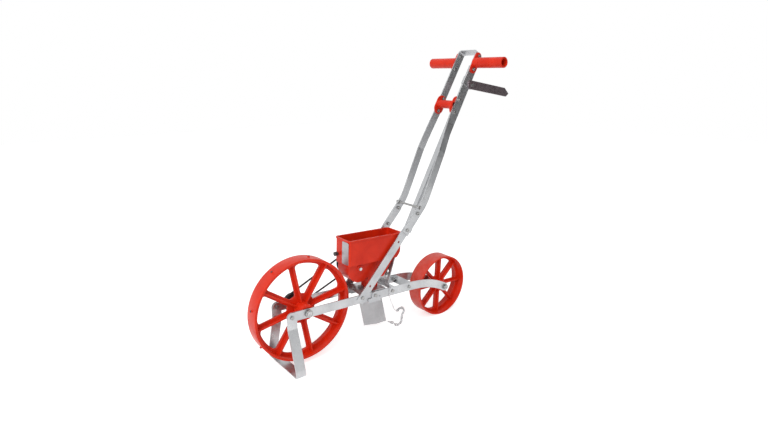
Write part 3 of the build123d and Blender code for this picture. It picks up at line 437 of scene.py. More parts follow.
def red_plastic(name, finish, tread=None):
    """Semi-gloss moulded plastic: mould grain, flow marks, scuffs, and paler edges that are partly
    rubbed and partly a painted highlight.
    A tread is a wheel's centre and radius, and gets a pale mottled colour on the press wheel's tread
    that is partly dust and partly a painted sheen."""
    recipe = Recipe(name)
    normal, edge = recipe.soft_edges(1.4 * finish.edge)
    flow = recipe.noise(0.075, detail=3.0, distortion=1.2)
    deep = recipe.span(flow, 0.36, 0.66, 0.0, 0.75)
    colour = recipe.blend(deep, rgba(finish.red), rgba(finish.red_shade))
    streak = recipe.noise(0.0035, detail=5.0, rough=0.7, at=recipe.stretched((0.35, 1.0, 1.0)))
    scuff = recipe.math("MULTIPLY", recipe.span(streak, 0.60, 0.74), 0.22)
    colour = recipe.blend(scuff, colour, rgba(finish.red_scuff_and_highlight))
    # Paler edges: partly rubbed, partly a painted edge highlight.
    colour = recipe.worn(edge, 0.28, colour, rgba(finish.red_scuff_and_highlight))
    rough = recipe.span(flow, 0.3, 0.7, finish.red_roughness - 0.05, finish.red_roughness + 0.08)
    rough = recipe.math("ADD", rough, recipe.math("MULTIPLY", scuff, 0.8))
    if tread:
        centre, radius = tread
        from_axle = recipe.add("ShaderNodeVectorMath", operation="SUBTRACT")
        recipe.feed(from_axle.inputs[0], recipe.place)
        recipe.feed(from_axle.inputs[1], centre)
        flat = recipe.add("ShaderNodeVectorMath", operation="MULTIPLY")
        recipe.feed(flat.inputs[0], from_axle.outputs["Vector"])
        recipe.feed(flat.inputs[1], (1.0, 0.0, 1.0))
        reach = recipe.add("ShaderNodeVectorMath", operation="LENGTH")
        recipe.feed(reach.inputs[0], flat.outputs["Vector"])
        outside = recipe.span(reach.outputs["Value"], radius - 0.0006, radius - 0.0001)
        # Pale mottled colour on the tread: partly dust, partly a painted sheen.
        dust = recipe.span(recipe.noise(0.018, detail=5.0, rough=0.65), 0.32, 0.72, 0.04, 0.30)
        dust_and_sheen = recipe.math("MULTIPLY", outside, dust)
        colour = recipe.blend(dust_and_sheen, colour, rgba(finish.tread_dust_and_sheen))
        rough = recipe.math("ADD", rough, recipe.math("MULTIPLY", dust_and_sheen, 0.16))
    grain = recipe.noise(finish.red_grain, detail=2.0, rough=0.5)
    recipe.relief(normal, (grain, 0.000018), (flow, 0.0005))
    return recipe.finish(
        Base_Color=colour,
        Roughness=rough,
        Specular_IOR_Level=0.24,
        Coat_Weight=0.04,
        Coat_Roughness=0.2,
    )


def black_plastic(name, finish):
    """Matt moulded plastic with fine grain and greyed edges, partly wear and partly a painted
    highlight.
    """
    recipe = Recipe(name)
    normal, edge = recipe.soft_edges(finish.edge)
    dust = recipe.span(recipe.noise(0.010, detail=5.0, rough=0.65), 0.42, 0.75, 0.0, 0.35)
    colour = recipe.blend(dust, rgba(finish.black), (0.10, 0.10, 0.10, 1.0))
    # Greyed edges: partly wear, partly a painted edge highlight.
    colour = recipe.worn(edge, 0.4, colour, (0.13, 0.13, 0.13, 1.0))
    rough = recipe.span(recipe.noise(0.004), 0.3, 0.7, 0.46, 0.62)
    recipe.relief(normal, (recipe.noise(0.0006, detail=2.0), 0.00003))
    return recipe.finish(Base_Color=colour, Roughness=rough)


def belt_rubber(name, finish):
    """Extruded rubber cord: faint run lines and a dry, dusty face."""
    recipe = Recipe(name)
    dust = recipe.span(recipe.noise(0.005, detail=4.0), 0.40, 0.72, 0.0, 0.30)
    colour = recipe.blend(dust, rgba(finish.belt), (0.09, 0.085, 0.08, 1.0))
    lines = recipe.noise(0.0005, detail=2.0, at=recipe.stretched((0.1, 1.0, 0.3)))
    rough = recipe.span(lines, 0.3, 0.7, 0.50, 0.68)
    normal = recipe.add("ShaderNodeNewGeometry").outputs["Normal"]
    recipe.relief(normal, (lines, 0.00003))
    return recipe.finish(Base_Color=colour, Roughness=rough)


def brushed_aluminium(name, finish):
    """Satin sheet brushed across its width, with bright edges that are partly sheared metal and
    partly a painted highlight.
    """
    recipe = Recipe(name)
    normal, edge = recipe.soft_edges(0.5 * finish.edge)
    brush = recipe.noise(0.0005, detail=3.0, at=recipe.stretched((1.0, 0.03, 1.0)))
    tone = recipe.span(brush, 0.3, 0.7, 0.0, 0.6)
    colour = recipe.blend(tone, rgba(finish.aluminium), (0.36, 0.355, 0.37, 1.0))
    # Bright edges: partly sheared metal, partly a painted edge highlight.
    colour = recipe.worn(edge, 0.5, colour, (0.80, 0.80, 0.81, 1.0))
    rough = recipe.span(brush, 0.3, 0.7, 0.30, 0.48)
    recipe.relief(normal, (brush, 0.000010))
    return recipe.finish(Base_Color=colour, Metallic=0.95, Roughness=rough)


def cleat_tip(name, finish):
    """Dark hard tips of the cleats, rubbed in patches, with paler edges that are partly rubbed and
    partly a painted highlight.
    """
    recipe = Recipe(name)
    normal, edge = recipe.soft_edges(finish.edge)
    worn = recipe.span(recipe.noise(0.0015, detail=4.0), 0.40, 0.70, 0.0, 0.5)
    colour = recipe.blend(worn, rgba(finish.tip), (0.16, 0.03, 0.025, 1.0))
    # Paler edges: partly rubbed, partly a painted edge highlight.
    colour = recipe.worn(edge, 0.3, colour, (0.25, 0.07, 0.06, 1.0))
    recipe.relief(normal, (recipe.noise(0.0006), 0.00002))
    return recipe.finish(Base_Color=colour, Roughness=0.5)


def tuned(mesh, degrees=35):
    """Smooth shading with sharp edges above an angle."""
    mesh.shade_smooth()
    mesh.set_sharp_from_angle(angle=math.radians(degrees))


class Tree:
    """Geometry node tree with named inputs, built in the order in which the geometry flows."""

    def __init__(self, name, inputs):
        self.group = bpy.data.node_groups.new(name, "GeometryNodeTree")
        interface = self.group.interface
        interface.new_socket(name="Geometry", in_out="OUTPUT", socket_type="NodeSocketGeometry")
        interface.new_socket(name="Geometry", in_out="INPUT", socket_type="NodeSocketGeometry")
        for label, kind in inputs.items():
            interface.new_socket(name=label, in_out="INPUT", socket_type="NodeSocket" + kind)
        self.given = self.group.nodes.new("NodeGroupInput").outputs

    def add(self, kind, values=None, **settings):
        node = self.group.nodes.new(kind)
        for key, value in settings.items():
            setattr(node, key, value)
        for key, value in (values or {}).items():
            if isinstance(value, bpy.types.NodeSocket):
                self.group.links.new(value, node.inputs[key])
            else:
                node.inputs[key].default_value = value
        return node

    def math(self, operation, first, second=0.0):
        return self.out("ShaderNodeMath", {0: first, 1: second}, operation=operation)

    def out(self, kind, values=None, **settings):
        """First output of a new node."""
        return self.add(kind, values, **settings).outputs[0]

    def named(self, name, data_type):
        """Value of a named attribute of the geometry."""
        node = self.add("GeometryNodeInputNamedAttribute", {"Name": name}, data_type=data_type)
        return node.outputs["Attribute"]

    def join(self, *parts):
        node = self.add("GeometryNodeJoinGeometry")
        for piece in parts:
            self.group.links.new(piece, node.inputs[0])
        return node.outputs[0]

    def end(self, geometry, *materials):
        """Realize the instances, set each material where its mask is on, and close the tree."""
        geometry = self.out("GeometryNodeRealizeInstances", {"Geometry": geometry})
        for label, mask in materials:
            values = {"Geometry": geometry, "Material": self.given[label]}
            if mask:
                values["Selection"] = self.named(mask, "BOOLEAN")
            geometry = self.out("GeometryNodeSetMaterial", values)
        self.group.links.new(geometry, self.group.nodes.new("NodeGroupOutput").inputs[0])
        return self.group


def grown(name, tree, values, mesh=None):
    """Plain mesh object made by a geometry node tree over a starting mesh."""
    seed = bpy.data.objects.new(name + "_seed", mesh or bpy.data.meshes.new(name + "_seed"))
    bpy.context.scene.collection.objects.link(seed)
    modifier = seed.modifiers.new("Shape", "NODES")
    modifier.node_group = tree
    for item in tree.interface.items_tree:
        if item.item_type == "SOCKET" and item.in_out == "INPUT" and item.name in values:
            modifier[item.identifier] = values[item.name]
    depsgraph = bpy.context.evaluated_depsgraph_get()
    result = bpy.data.meshes.new_from_object(seed.evaluated_get(depsgraph))
    bpy.data.objects.remove(seed)
    if not result.polygons:
        raise RuntimeError(name + " came out empty")
    result.name = name
    tuned(result)
    piece = bpy.data.objects.new(name, result)
    bpy.context.scene.collection.objects.link(piece)
    return piece


def islands(mesh):
    """Vertex places of each separate solid of a mesh, as arrays."""
    spots = {}
    root = []
    for vertex in mesh.vertices:
        key = tuple(round(value, 6) for value in vertex.co)
        root.append(spots.setdefault(key, vertex.index))
    parent = list(range(len(mesh.vertices)))

    def top(index):
        while parent[index] != index:
            parent[index] = parent[parent[index]]
            index = parent[index]
        return index

    for edge in mesh.edges:
        parent[top(root[edge.vertices[0]])] = top(root[edge.vertices[1]])
    groups = {}
    for index in sorted(set(root)):
        groups.setdefault(top(index), []).append(mesh.vertices[index].co[:])
    return [np.array(points) for points in groups.values()]


def main_axes(points):
    """Middle of a solid's own box, its axes from longest to thinnest, and its sizes."""
    centre = points.mean(axis=0)
    axes = np.linalg.eigh(np.cov((points - centre).T))[1][:, ::-1]
    local = (points - centre) @ axes
    sizes = np.ptp(local, axis=0)
    order = np.argsort(-sizes)
    middle = centre + axes @ ((local.max(axis=0) + local.min(axis=0)) / 2)
    return middle, axes[:, order], sizes[order]


def chain_tree():
    """Round-ended wire link on every point, turned as the point says."""
    sizes = {"Length": "Float", "Width": "Float", "Wire": "Float", "Finish": "Material"}
    tree = Tree("drag_chain_links", sizes)
    given = tree.given
    wire = tree.math("MULTIPLY", given["Wire"], 2.0)
    long = tree.math("SUBTRACT", given["Length"], wire)
    wide = tree.math("SUBTRACT", given["Width"], wire)
    loop = tree.add("GeometryNodeCurvePrimitiveQuadrilateral", {"Width": long, "Height": wide})
    bend = tree.math("MULTIPLY", wide, 0.499)
    values = {"Curve": loop.outputs[0], "Count": 10, "Radius": bend, "Limit Radius": True}
    loop = tree.add("GeometryNodeFilletCurve", values, mode="POLY")
    ring = tree.add("GeometryNodeCurvePrimitiveCircle", {"Resolution": 14, "Radius": given["Wire"]})
    values = {"Curve": loop.outputs[0], "Profile Curve": ring.outputs[0]}
    link = tree.add("GeometryNodeCurveToMesh", values)
    turn = tree.named("turn", "FLOAT_VECTOR")
    values = {"Points": given["Geometry"], "Instance": link.outputs[0], "Rotation": turn}
    chain = tree.add("GeometryNodeInstanceOnPoints", values)
    return tree.end(chain.outputs[0], ("Finish", None))


def card(name, corners):
    """Flat sheet of the studio through four corners."""
    mesh = bpy.data.meshes.new(name)
    mesh.from_pydata(corners, [], [(0, 1, 2, 3)])
    sheet = bpy.data.objects.new(name, mesh)
    bpy.context.scene.collection.objects.link(sheet)
    return sheet


def body_name(node):
    """Name of the body that a node of the frame rides on."""
    return frame["nodes"][node].parent.name.split("body:")[-1]


class SEEDER_OT_finishes(bpy.types.Operator):
    """Give every node of the frame its finish, from the record's material slots"""

    bl_idname = "seeder.finishes"
    bl_label = "Finishes"

    def execute(self, context):
        finish = context.scene.seeder_finish
        low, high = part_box("rear_wheel")
        middle = (Vector(low) + Vector(high)) / 2
        tread = (tuple(middle), (high[2] - low[2]) / 2)
        bare = strip_steel("marker_blade_look", finish, finish.blade, finish.blade_shade)
        pressed = strip_steel("opener_shoe_look", finish, finish.shoe, finish.shoe_shade)
        zinc = strip_steel("galvanised_steel_look", finish, finish.steel, finish.steel_shade)
        made = {
            "galvanised_steel": zinc,
            "zinc_fasteners": plated_fastener("zinc_fasteners_look", finish),
            "bright_steel": drawn_steel("bright_steel_look", finish),
            "red_plastic": red_plastic("red_plastic_look", finish),
            "rear_wheel_plastic": red_plastic("rear_wheel_plastic_look", finish, tread),
            "black_plastic": black_plastic("black_plastic_look", finish),
            "belt_rubber": belt_rubber("belt_rubber_look", finish),
            "plate_aluminium": brushed_aluminium("plate_aluminium_look", finish),
        }
        cleat_tip("cleat_tip_look", finish)
        for node in frame["nodes"].values():
            for place in node.material_slots:
                slot = next((name for name in made if place.material.name.startswith(name)), None)
                if slot is None:
                    raise RuntimeError(node.name + " has an unknown finish: " + place.material.name)
                place.material = made[slot]
        own_looks = {
            "seed_shaft_bushes": made["red_plastic"],
            "marker_blade": bare,
            "opener_shoe": pressed,
        }
        for name, look in own_looks.items():
            for place in frame["nodes"][name].material_slots:
                place.material = look
        return {"FINISHED"}


class SEEDER_OT_drag_chain(bpy.types.Operator):
    """Forge the round-wire links of the drag chain over the links of the frame"""

    bl_idname = "seeder.drag_chain"
    bl_label = "Drag chain"

    def execute(self, context):
        node = frame["nodes"]["drag_chain"]
        places = []
        turns = []
        for points in islands(node.data):
            middle, axes, sizes = main_axes(points)
            long, wide = Vector(axes[:, 0]), Vector(axes[:, 1])
            turn = Matrix((long, wide, long.cross(wide))).transposed()
            places.append(tuple(middle))
            turns.extend(turn.to_euler())
        mesh = bpy.data.meshes.new("drag_chain_points")
        mesh.from_pydata(places, [], [])
        mesh.attributes.new("turn", "FLOAT_VECTOR", "POINT").data.foreach_set("vector", turns)
        values = {
            "Length": float(sizes[0]),
            "Width": float(sizes[1]),
            "Wire": context.scene.seeder_small.wire,
            "Finish": bpy.data.materials["bright_steel_look"],
        }
        piece = grown("drag_chain_links", chain_tree(), values, mesh)
        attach(piece, body_name("drag_chain"))
        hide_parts("drag_chain")
        return {"FINISHED"}


class SEEDER_OT_stage(bpy.types.Operator):
    """Set up the white floor, the room light, the soft lamps and the product camera"""

    bl_idname = "seeder.stage"
    bl_label = "Stage"

    def execute(self, context):
        scene = context.scene
        look = scene.seeder_stage
        scene.view_settings.view_transform = "Standard"
        world = bpy.data.worlds.new("white_room")
        scene.world = world
        world.use_nodes = True
        nodes, links = world.node_tree.nodes, world.node_tree.links
        path = nodes.new("ShaderNodeLightPath")
        seen = nodes.new("ShaderNodeMath")
        seen.operation = "MAXIMUM"
        links.new(path.outputs["Is Camera Ray"], seen.inputs[0])
        links.new(path.outputs["Is Glossy Ray"], seen.inputs[1])
        strength = nodes.new("ShaderNodeMapRange")
        links.new(seen.outputs[0], strength.inputs["Value"])
        strength.inputs["To Min"].default_value = look.sky
        links.new(strength.outputs["Result"], nodes["Background"].inputs["Strength"])
        nodes["Background"].inputs["Color"].default_value = (1.0, 1.0, 1.0, 1.0)

        level = CAD_LOW[2] - FLOOR_GAP
        plan = ((-1, -1), (1, -1), (1, 1), (-1, 1))
        floor = card("studio_floor", [(FLOOR_REACH * x, FLOOR_REACH * y, level) for x, y in plan])
        recipe = Recipe("studio_floor_look")
        tone = recipe.span(recipe.noise(0.5), 0.3, 0.7, 0.0, 0.2)
        colour = recipe.blend(tone, rgba(look.floor), (0.84, 0.84, 0.84, 1.0))
        light = recipe.add("ShaderNodeLightPath").outputs
        seen = recipe.math("MAXIMUM", light["Is Camera Ray"], light["Is Glossy Ray"])
        glow = recipe.math("MULTIPLY", seen, FLOOR_GLOW)
        white = (1.0, 1.0, 1.0, 1.0)
        floor_look = recipe.finish(
            Base_Color=colour, Roughness=0.9, Emission_Color=white, Emission_Strength=glow
        )
        floor.data.materials.append(floor_look)

        near, far = FLAG_X
        low, high = FLAG_Z
        outline = ((near, low), (far, low), (far, high), (near, high))
        flag = card("studio_flag", [(x, FLAG_Y, z) for x, z in outline])
        recipe = Recipe("studio_flag_look")
        tone = recipe.span(recipe.noise(0.4), 0.3, 0.7, 0.0, 0.3)
        colour = recipe.blend(tone, (0.20, 0.20, 0.20, 1.0), (0.26, 0.26, 0.26, 1.0))
        flag.data.materials.append(recipe.finish(Base_Color=colour, Roughness=0.9))
        flag.visible_camera = False
        flag.visible_diffuse = False
        flag.visible_shadow = False
        flag.visible_transmission = False

        lamps = (
            ("key_lamp", look.key, KEY_PLACE, KEY_SIZE),
            ("fill_lamp", look.fill, FILL_PLACE, FILL_SIZE),
        )
        target = (CAD_LOW + CAD_HIGH) / 2
        for name, power, place, side in lamps:
            data = bpy.data.lights.new(name, "AREA")
            data.energy = power
            data.size = side
            lamp = bpy.data.objects.new(name, data)
            lamp.location = place
            lamp.rotation_euler = (target - Vector(place)).to_track_quat("-Z", "Y").to_euler()
            scene.collection.objects.link(lamp)

        data = bpy.data.cameras.new("product_camera")
        data.lens = look.lens
        data.shift_x, data.shift_y = CAMERA_SHIFT
        camera = bpy.data.objects.new("product_camera", data)
        camera.location = look.camera
        camera.rotation_euler = Euler(look.turn)
        scene.collection.objects.link(camera)
        scene.camera = camera
        return {"FINISHED"}


WHEEL_FIELDS = {
    "Rim": "rim",
    "Rim width": "width",
    "Hub": "hub",
    "Hub half": "hub_half",
    "Bore": "bore",
    "Web": "web",
    "Spoke": "spoke",
    "Rib": "rib",
    "Rib half": "rib_half",
    "Window in": "window_in",
    "Window out": "window_out",
    "Window corner": "window_corner",
    "Spokes": "spokes",
    "Phase": "phase",
    "Cleat": "cleat",
    "Cleat height": "cleat_height",
}


def around(tree, instance, count, phase):
    """Copies of a piece turned evenly about the wheel's axis."""
    points = tree.out("GeometryNodePoints", {"Count": count})
    step = tree.math("DIVIDE", math.tau, count)
    index = tree.out("GeometryNodeInputIndex")
    turn = tree.math("ADD", tree.math("MULTIPLY", index, step), phase)
    spin = tree.out("ShaderNodeCombineXYZ", {"Z": turn})
    values = {"Points": points, "Instance": instance, "Rotation": spin}
    return tree.out("GeometryNodeInstanceOnPoints", values)


def ring(tree, inner, outer, height, corner):
    """Ring of rectangular section with rounded edges, about the wheel's axis."""
    middle = tree.math("MULTIPLY", tree.math("ADD", inner, outer), 0.5)
    wall = tree.math("SUBTRACT", outer, inner)
    path = tree.add("GeometryNodeCurvePrimitiveCircle", {"Resolution": 160, "Radius": middle})
    section = tree.add("GeometryNodeCurvePrimitiveQuadrilateral", {"Width": wall, "Height": height})
    values = {"Curve": section.outputs[0], "Count": 4, "Radius": corner, "Limit Radius": True}
    section = tree.add("GeometryNodeFilletCurve", values, mode="POLY")
    values = {"Curve": path.outputs[0], "Profile Curve": section.outputs[0]}
    return tree.out("GeometryNodeCurveToMesh", values)


def window_curve(tree, half_turn):
    """Outline of one window: straight sides beside its spokes, arcs at both ends, round corners."""
    given = tree.given
    tall = tree.math("SUBTRACT", given["Window out"], given["Window in"])
    middle = tree.math("MULTIPLY", tree.math("ADD", given["Window out"], given["Window in"]), 0.5)
    arc = tree.math("MULTIPLY", middle, tree.math("MULTIPLY", half_turn, 2.0))
    wide = tree.math("SUBTRACT", arc, given["Spoke"])
    box = tree.add("GeometryNodeCurvePrimitiveQuadrilateral", {"Width": wide, "Height": tall})
    corner = given["Window corner"]
    values = {"Curve": box.outputs[0], "Count": 8, "Radius": corner, "Limit Radius": True}
    box = tree.add("GeometryNodeFilletCurve", values, mode="POLY")
    box = tree.out("GeometryNodeResampleCurve", {"Curve": box.outputs[0], "Count": 140})
    spot = tree.out("GeometryNodeInputPosition")
    spot = tree.add("ShaderNodeSeparateXYZ", {0: spot}).outputs
    reach = tree.math("ADD", spot["Y"], middle)
    half_spoke = tree.math("MULTIPLY", given["Spoke"], 0.5)
    hidden = tree.math("ARCSINE", tree.math("DIVIDE", half_spoke, reach))
    open_half = tree.math("SUBTRACT", half_turn, hidden)
    across = tree.math("DIVIDE", tree.math("MULTIPLY", spot["X"], 2.0), wide)
    angle = tree.math("MULTIPLY", across, open_half)
    values = {
        "X": tree.math("MULTIPLY", reach, tree.math("COSINE", angle)),
        "Y": tree.math("MULTIPLY", reach, tree.math("SINE", angle)),
    }
    place = tree.out("ShaderNodeCombineXYZ", values)
    return tree.out("GeometryNodeSetPosition", {"Geometry": box, "Position": place})


def wheel_tree():
    """Moulded spoked wheel: rim, web with windows, ribs, hub and, on the drive wheel, cleats."""
    inputs = {label: "Int" if label == "Spokes" else "Float" for label in WHEEL_FIELDS}
    inputs |= {"Radius": "Float", "Centre": "Vector", "Body": "Material", "Tip": "Material"}
    tree = Tree("moulded_wheel", inputs)
    given = tree.given
    half_turn = tree.math("DIVIDE", math.pi, given["Spokes"])
    between = tree.math("ADD", given["Phase"], half_turn)
    rim_in = tree.math("SUBTRACT", given["Radius"], given["Rim"])
    rim = ring(tree, rim_in, given["Radius"], given["Rim width"], RIM_EDGE)
    hub_length = tree.math("MULTIPLY", given["Hub half"], 2.0)
    hub = ring(tree, given["Bore"], given["Hub"], hub_length, HUB_EDGE)

    windows = around(tree, window_curve(tree, half_turn), given["Spokes"], between)
    windows = tree.out("GeometryNodeRealizeInstances", {"Geometry": windows})
    inside_rim = tree.math("ADD", rim_in, SINK)
    inside_hub = tree.math("SUBTRACT", given["Hub"], SINK)
    edges = [
        tree.out("GeometryNodeCurvePrimitiveCircle", {"Resolution": 160, "Radius": radius})
        for radius in (inside_rim, inside_hub)
    ]
    web = tree.out("GeometryNodeFillCurve", {"Curve": tree.join(windows, *edges)})
    up = {"Mesh": web, "Offset Scale": given["Web"], "Individual": False}
    raised = tree.out("GeometryNodeExtrudeMesh", up)
    under = tree.out("GeometryNodeFlipFaces", {"Mesh": web})
    values = {"Geometry": tree.join(raised, under), "Distance": 1e-6}
    web = tree.out("GeometryNodeMergeByDistance", values)
    drop = tree.out("ShaderNodeCombineXYZ", {"Z": tree.math("MULTIPLY", given["Web"], -0.5)})
    web = tree.out("GeometryNodeTransform", {"Geometry": web, "Translation": drop})

    rib_long = tree.math("SUBTRACT", inside_rim, inside_hub)
    values = {"X": rib_long, "Y": given["Rib"], "Z": tree.math("MULTIPLY", given["Rib half"], 2.0)}
    box = tree.out("ShaderNodeCombineXYZ", values)
    rib = tree.out("GeometryNodeMeshCube", {"Size": box})
    out = tree.math("MULTIPLY", tree.math("ADD", inside_rim, inside_hub), 0.5)
    shift = tree.out("ShaderNodeCombineXYZ", {"X": out})
    rib = tree.out("GeometryNodeTransform", {"Geometry": rib, "Translation": shift})
    ribs = around(tree, rib, given["Spokes"], given["Phase"])

    studs = []
    top = tree.math("ADD", given["Radius"], given["Cleat height"])
    for base, high, radius, tipped in (
        (rim_in, tree.math("SUBTRACT", top, SINK), given["Cleat"], False),
        (given["Radius"], top, tree.math("MULTIPLY", given["Cleat"], 0.88), True),
    ):
        tall = tree.math("SUBTRACT", high, base)
        values = {"Vertices": 28, "Radius": radius, "Depth": tall}
        stud = tree.out("GeometryNodeMeshCylinder", values)
        out = tree.math("MULTIPLY", tree.math("ADD", high, base), 0.5)
        values = {"Geometry": stud, "Rotation": (0.0, math.pi / 2, 0.0)}
        values["Translation"] = tree.out("ShaderNodeCombineXYZ", {"X": out})
        stud = tree.out("GeometryNodeTransform", values)
        values = {"Geometry": stud, "Name": "tipped", "Value": tipped}
        kinds = {"data_type": "BOOLEAN", "domain": "FACE"}
        stud = tree.add("GeometryNodeStoreNamedAttribute", values, **kinds)
        studs.append(stud.outputs[0])
    values = {0: given["Cleat height"], 1: 0.0}
    cleated = tree.add("FunctionNodeCompare", values, data_type="FLOAT", operation="GREATER_THAN")
    studs = around(tree, tree.join(*studs), given["Spokes"], between)
    values = {"Switch": cleated.outputs[0], "True": studs}
    studs = tree.out("GeometryNodeSwitch", values, input_type="GEOMETRY")
    values = {
        "Geometry": tree.join(rim, hub, web, ribs, studs),
        "Rotation": (-math.pi / 2, 0.0, 0.0),
        "Translation": given["Centre"],
    }
    wheel = tree.out("GeometryNodeTransform", values)
    return tree.end(wheel, ("Body", None), ("Tip", "tipped"))


def make_wheel(name, node, look, sizes):
    """Grow one wheel over its node of the frame, soften its edges and hang it on its body."""
    low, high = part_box(node)
    values = {label: getattr(sizes, field, 0.0) for label, field in WHEEL_FIELDS.items()}
    values |= {
        "Radius": (high[2] - low[2]) / 2,
        "Centre": tuple((Vector(low) + Vector(high)) / 2),
        "Body": bpy.data.materials[look],
        "Tip": bpy.data.materials["cleat_tip_look"],
    }
    tree = bpy.data.node_groups.get("moulded_wheel") or wheel_tree()
    piece = grown(name, tree, values)
    soft = piece.modifiers.new("Soft edges", "BEVEL")
    soft.width = 0.5 * MM
    soft.segments = 2
    soft.angle_limit = math.radians(40)
    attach(piece, body_name(node))
    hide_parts(node)


class SEEDER_OT_drive_wheel(bpy.types.Operator):
    """Mould the spoked and cleated drive wheel at the front"""

    bl_idname = "seeder.drive_wheel"
    bl_label = "Drive wheel"

    def execute(self, context):
        sizes = context.scene.seeder_drive_wheel
        make_wheel("drive_wheel_moulding", "front_wheel", "red_plastic_look", sizes)
        return {"FINISHED"}


class SEEDER_OT_press_wheel(bpy.types.Operator):
    """Mould the spoked press wheel at the rear"""

    bl_idname = "seeder.press_wheel"
    bl_label = "Press wheel"

    def execute(self, context):
        sizes = context.scene.seeder_press_wheel
        look = "rear_wheel_plastic_look"
        make_wheel("press_wheel_moulding", "rear_wheel", look, sizes)
        return {"FINISHED"}


def hexagon(tree, rows, crown):
    """Hex body one unit in radius and height, with its corners cut by a cone at the top.
    Each row of the skin has a reach and a height, and a reach of -1 follows the hexagon."""
    grid = {"Size X": 1.0, "Size Y": 1.0, "Vertices X": 73, "Vertices Y": len(rows)}
    grid = tree.out("GeometryNodeMeshGrid", grid)
    spot = tree.out("GeometryNodeInputPosition")
    spot = tree.add("ShaderNodeSeparateXYZ", {0: spot}).outputs
    angle = tree.math("MULTIPLY", spot["X"], math.tau)
    row = tree.math("ROUND", tree.math("MULTIPLY", tree.math("ADD", spot["Y"], 0.5), len(rows) - 1.0))
    sector = tree.math("FLOORED_MODULO", angle, math.pi / 3)
    flat = tree.math("COSINE", tree.math("SUBTRACT", sector, math.pi / 6))
    edge = tree.math("DIVIDE", math.cos(math.pi / 6), flat)
    reaches, heights = [], []
    for reach, height in rows:
        cut = tree.math("MULTIPLY", tree.math("SUBTRACT", edge, crown), 0.58)
        reaches.append(edge if reach < 0 else reach)
        heights.append(tree.math("SUBTRACT", height, cut) if reach < 0 and height > 0.5 else height)
    picks = []
    for choices in (reaches, heights):
        node = tree.add("GeometryNodeIndexSwitch", data_type="FLOAT")
        while len(node.index_switch_items) < len(rows):
            node.index_switch_items.new()
        tree.group.links.new(row, node.inputs[0])
        for position, choice in enumerate(choices):
            if isinstance(choice, bpy.types.NodeSocket):
                tree.group.links.new(choice, node.inputs[position + 1])
            else:
                node.inputs[position + 1].default_value = choice
        picks.append(node.outputs[0])
    values = {
        "X": tree.math("MULTIPLY", picks[0], tree.math("COSINE", angle)),
        "Y": tree.math("MULTIPLY", picks[0], tree.math("SINE", angle)),
        "Z": picks[1],
    }
    place = tree.out("ShaderNodeCombineXYZ", values)
    shaped = tree.out("GeometryNodeSetPosition", {"Geometry": grid, "Position": place})
    return tree.out("GeometryNodeMergeByDistance", {"Geometry": shaped, "Distance": 0.002})


def fastener_tree():
    """Hex head, hex nut, shank or threaded end on every point, as the point's kind says."""
    sizes = {"Pitch": "Float", "Thread": "Float", "Shank": "Float", "Finish": "Material"}
    tree = Tree("hex_fasteners", sizes)
    given = tree.given
    sides = ((HEX_CROWN, 1.0), (-1, 1.0), (-1, 0.06), (0.8, 0.0))
    head = hexagon(tree, ((0.0, 0.9), (0.30, 0.94), (0.36, 1.0)) + sides, HEX_CROWN)
    nut = hexagon(tree, ((0.0, 0.97), (0.56, 0.97), (0.60, 1.0)) + sides, HEX_CROWN)
    shank = tree.out("GeometryNodeMeshCylinder", {"Vertices": 24, "Radius": 1.0, "Depth": 1.0})
    turns = tree.math("DIVIDE", given["Thread"], given["Pitch"])
    radius = tree.math("SUBTRACT", given["Shank"], tree.math("MULTIPLY", given["Pitch"], 0.28))
    values = {"Resolution": 20, "Rotations": turns, "Start Radius": radius, "End Radius": radius}
    coil = tree.out("GeometryNodeCurveSpiral", dict(values, Height=given["Thread"]))
    tooth = {"Resolution": 4, "Radius": tree.math("MULTIPLY", given["Pitch"], 0.42)}
    tooth = tree.out("GeometryNodeCurvePrimitiveCircle", tooth)
    thread = tree.out("GeometryNodeCurveToMesh", {"Curve": coil, "Profile Curve": tooth})
    kind = tree.named("kind", "INT")
    turn = tree.named("turn", "FLOAT_VECTOR")
    stretch = tree.named("stretch", "FLOAT_VECTOR")
    made = []
    for number, shape in enumerate((head, nut, shank, thread)):
        same = tree.add("FunctionNodeCompare", data_type="INT", operation="EQUAL")
        tree.group.links.new(kind, same.inputs[2])
        same.inputs[3].default_value = number
        values = {
            "Points": given["Geometry"],
            "Selection": same.outputs[0],
            "Instance": shape,
            "Rotation": turn,
            "Scale": stretch,
        }
        made.append(tree.out("GeometryNodeInstanceOnPoints", values))
    return tree.end(tree.join(*made), ("Finish", None))


def fastener_parts(points, thread):
    """Points of one fastener solid: its head or nut, and a bolt's shank and threaded end."""
    centre = points.mean(axis=0)
    spread, axes = np.linalg.eigh(np.cov((points - centre).T))
    lone = 0 if spread[1] - spread[0] > spread[2] - spread[1] else 2
    axis = axes[:, lone]
    along = (points - centre) @ axis
    away = np.linalg.norm((points - centre) - np.outer(along, axis), axis=1)
    wide = away > away.max() * 0.97
    if abs(along[wide].max() - along.max()) > abs(along[wide].min() - along.min()):
        axis, along = -axis, -along
    corner = (points - centre)[np.argmax(np.where(wide, away, 0))]
    side = Vector(corner) - Vector(axis) * Vector(corner).dot(Vector(axis))
    side.normalize()
    up = Vector(axis)
    turn = Matrix((side, up.cross(side), up)).transposed().to_euler()
    seat, top, tail = along[wide].min(), along.max(), along.min()
    reach = float(away.max())
    is_bolt = seat - tail > 0.001
    rows = [(0 if is_bolt else 1, centre + axis * seat, turn, (reach, reach, float(top - seat)))]
    if is_bolt:
        radius = float(away[along < seat - UNDER_HEAD].max())
        root = radius * THREAD_ROOT
        long = float(seat - tail)
        rows.append((2, centre + axis * (seat + tail) / 2, turn, (root, root, long)))
        share = radius / BOLT_RADIUS
        rows.append((3, centre + axis * tail, turn, (share, share, min(1.0, long / thread))))
    return rows


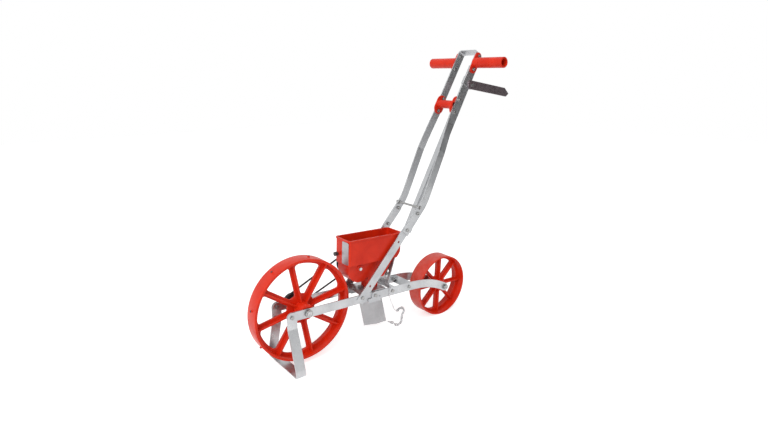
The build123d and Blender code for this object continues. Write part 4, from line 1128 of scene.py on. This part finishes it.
class SEEDER_OT_fasteners(bpy.types.Operator):
    """Forge the hex bolts and nuts over those of the frame, with chamfers and threads"""

    bl_idname = "seeder.fasteners"
    bl_label = "Fasteners"

    def execute(self, context):
        small = context.scene.seeder_small
        tree = fastener_tree()
        by_body = {}
        for name in FASTENER_NODES:
            by_body.setdefault(body_name(name), []).append(name)
        for body, names in by_body.items():
            rows = []
            for name in names:
                for points in islands(frame["nodes"][name].data):
                    rows.extend(fastener_parts(points, small.thread))
            mesh = bpy.data.meshes.new("fastener_points")
            mesh.from_pydata([tuple(row[1]) for row in rows], [], [])
            made = mesh.attributes
            made.new("kind", "INT", "POINT").data.foreach_set("value", [row[0] for row in rows])
            turns = [value for row in rows for value in row[2]]
            made.new("turn", "FLOAT_VECTOR", "POINT").data.foreach_set("vector", turns)
            scales = [value for row in rows for value in row[3]]
            made.new("stretch", "FLOAT_VECTOR", "POINT").data.foreach_set("vector", scales)
            values = {
                "Pitch": small.pitch,
                "Thread": small.thread,
                "Shank": BOLT_RADIUS,
                "Finish": bpy.data.materials["zinc_fasteners_look"],
            }
            piece = grown("hex_fasteners_" + body, tree, values, mesh)
            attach(piece, body)
            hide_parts(*names)
        return {"FINISHED"}


class SEEDER_PT_panel(bpy.types.Panel):
    """Lists the seeder's steps in the sidebar."""

    bl_label = "Garden seeder"
    bl_idname = "SEEDER_PT_panel"
    bl_space_type = "VIEW_3D"
    bl_region_type = "UI"
    bl_category = "Seeder"

    def draw(self, context):
        for step in STEPS:
            self.layout.operator(step.bl_idname)


STEPS = (
    SEEDER_OT_finishes,
    SEEDER_OT_drive_wheel,
    SEEDER_OT_press_wheel,
    SEEDER_OT_fasteners,
    SEEDER_OT_drag_chain,
    SEEDER_OT_stage,
)
GROUPS = {
    "seeder_finish": SeederFinish,
    "seeder_drive_wheel": SeederDriveWheel,
    "seeder_press_wheel": SeederPressWheel,
    "seeder_small": SeederSmallParts,
    "seeder_stage": SeederStage,
}


def register():
    for group in GROUPS.values():
        bpy.utils.register_class(group)
    for name, group in GROUPS.items():
        setattr(bpy.types.Scene, name, PointerProperty(type=group))
    for step in STEPS + (SEEDER_PT_panel,):
        bpy.utils.register_class(step)


def unregister():
    for step in (SEEDER_PT_panel,) + STEPS:
        bpy.utils.unregister_class(step)
    for name, group in GROUPS.items():
        delattr(bpy.types.Scene, name)
        bpy.utils.unregister_class(group)


def main():
    register()
    for step in STEPS:
        area, name = step.bl_idname.split(".")
        getattr(getattr(bpy.ops, area), name)()


if __name__ == "__main__":
    main()
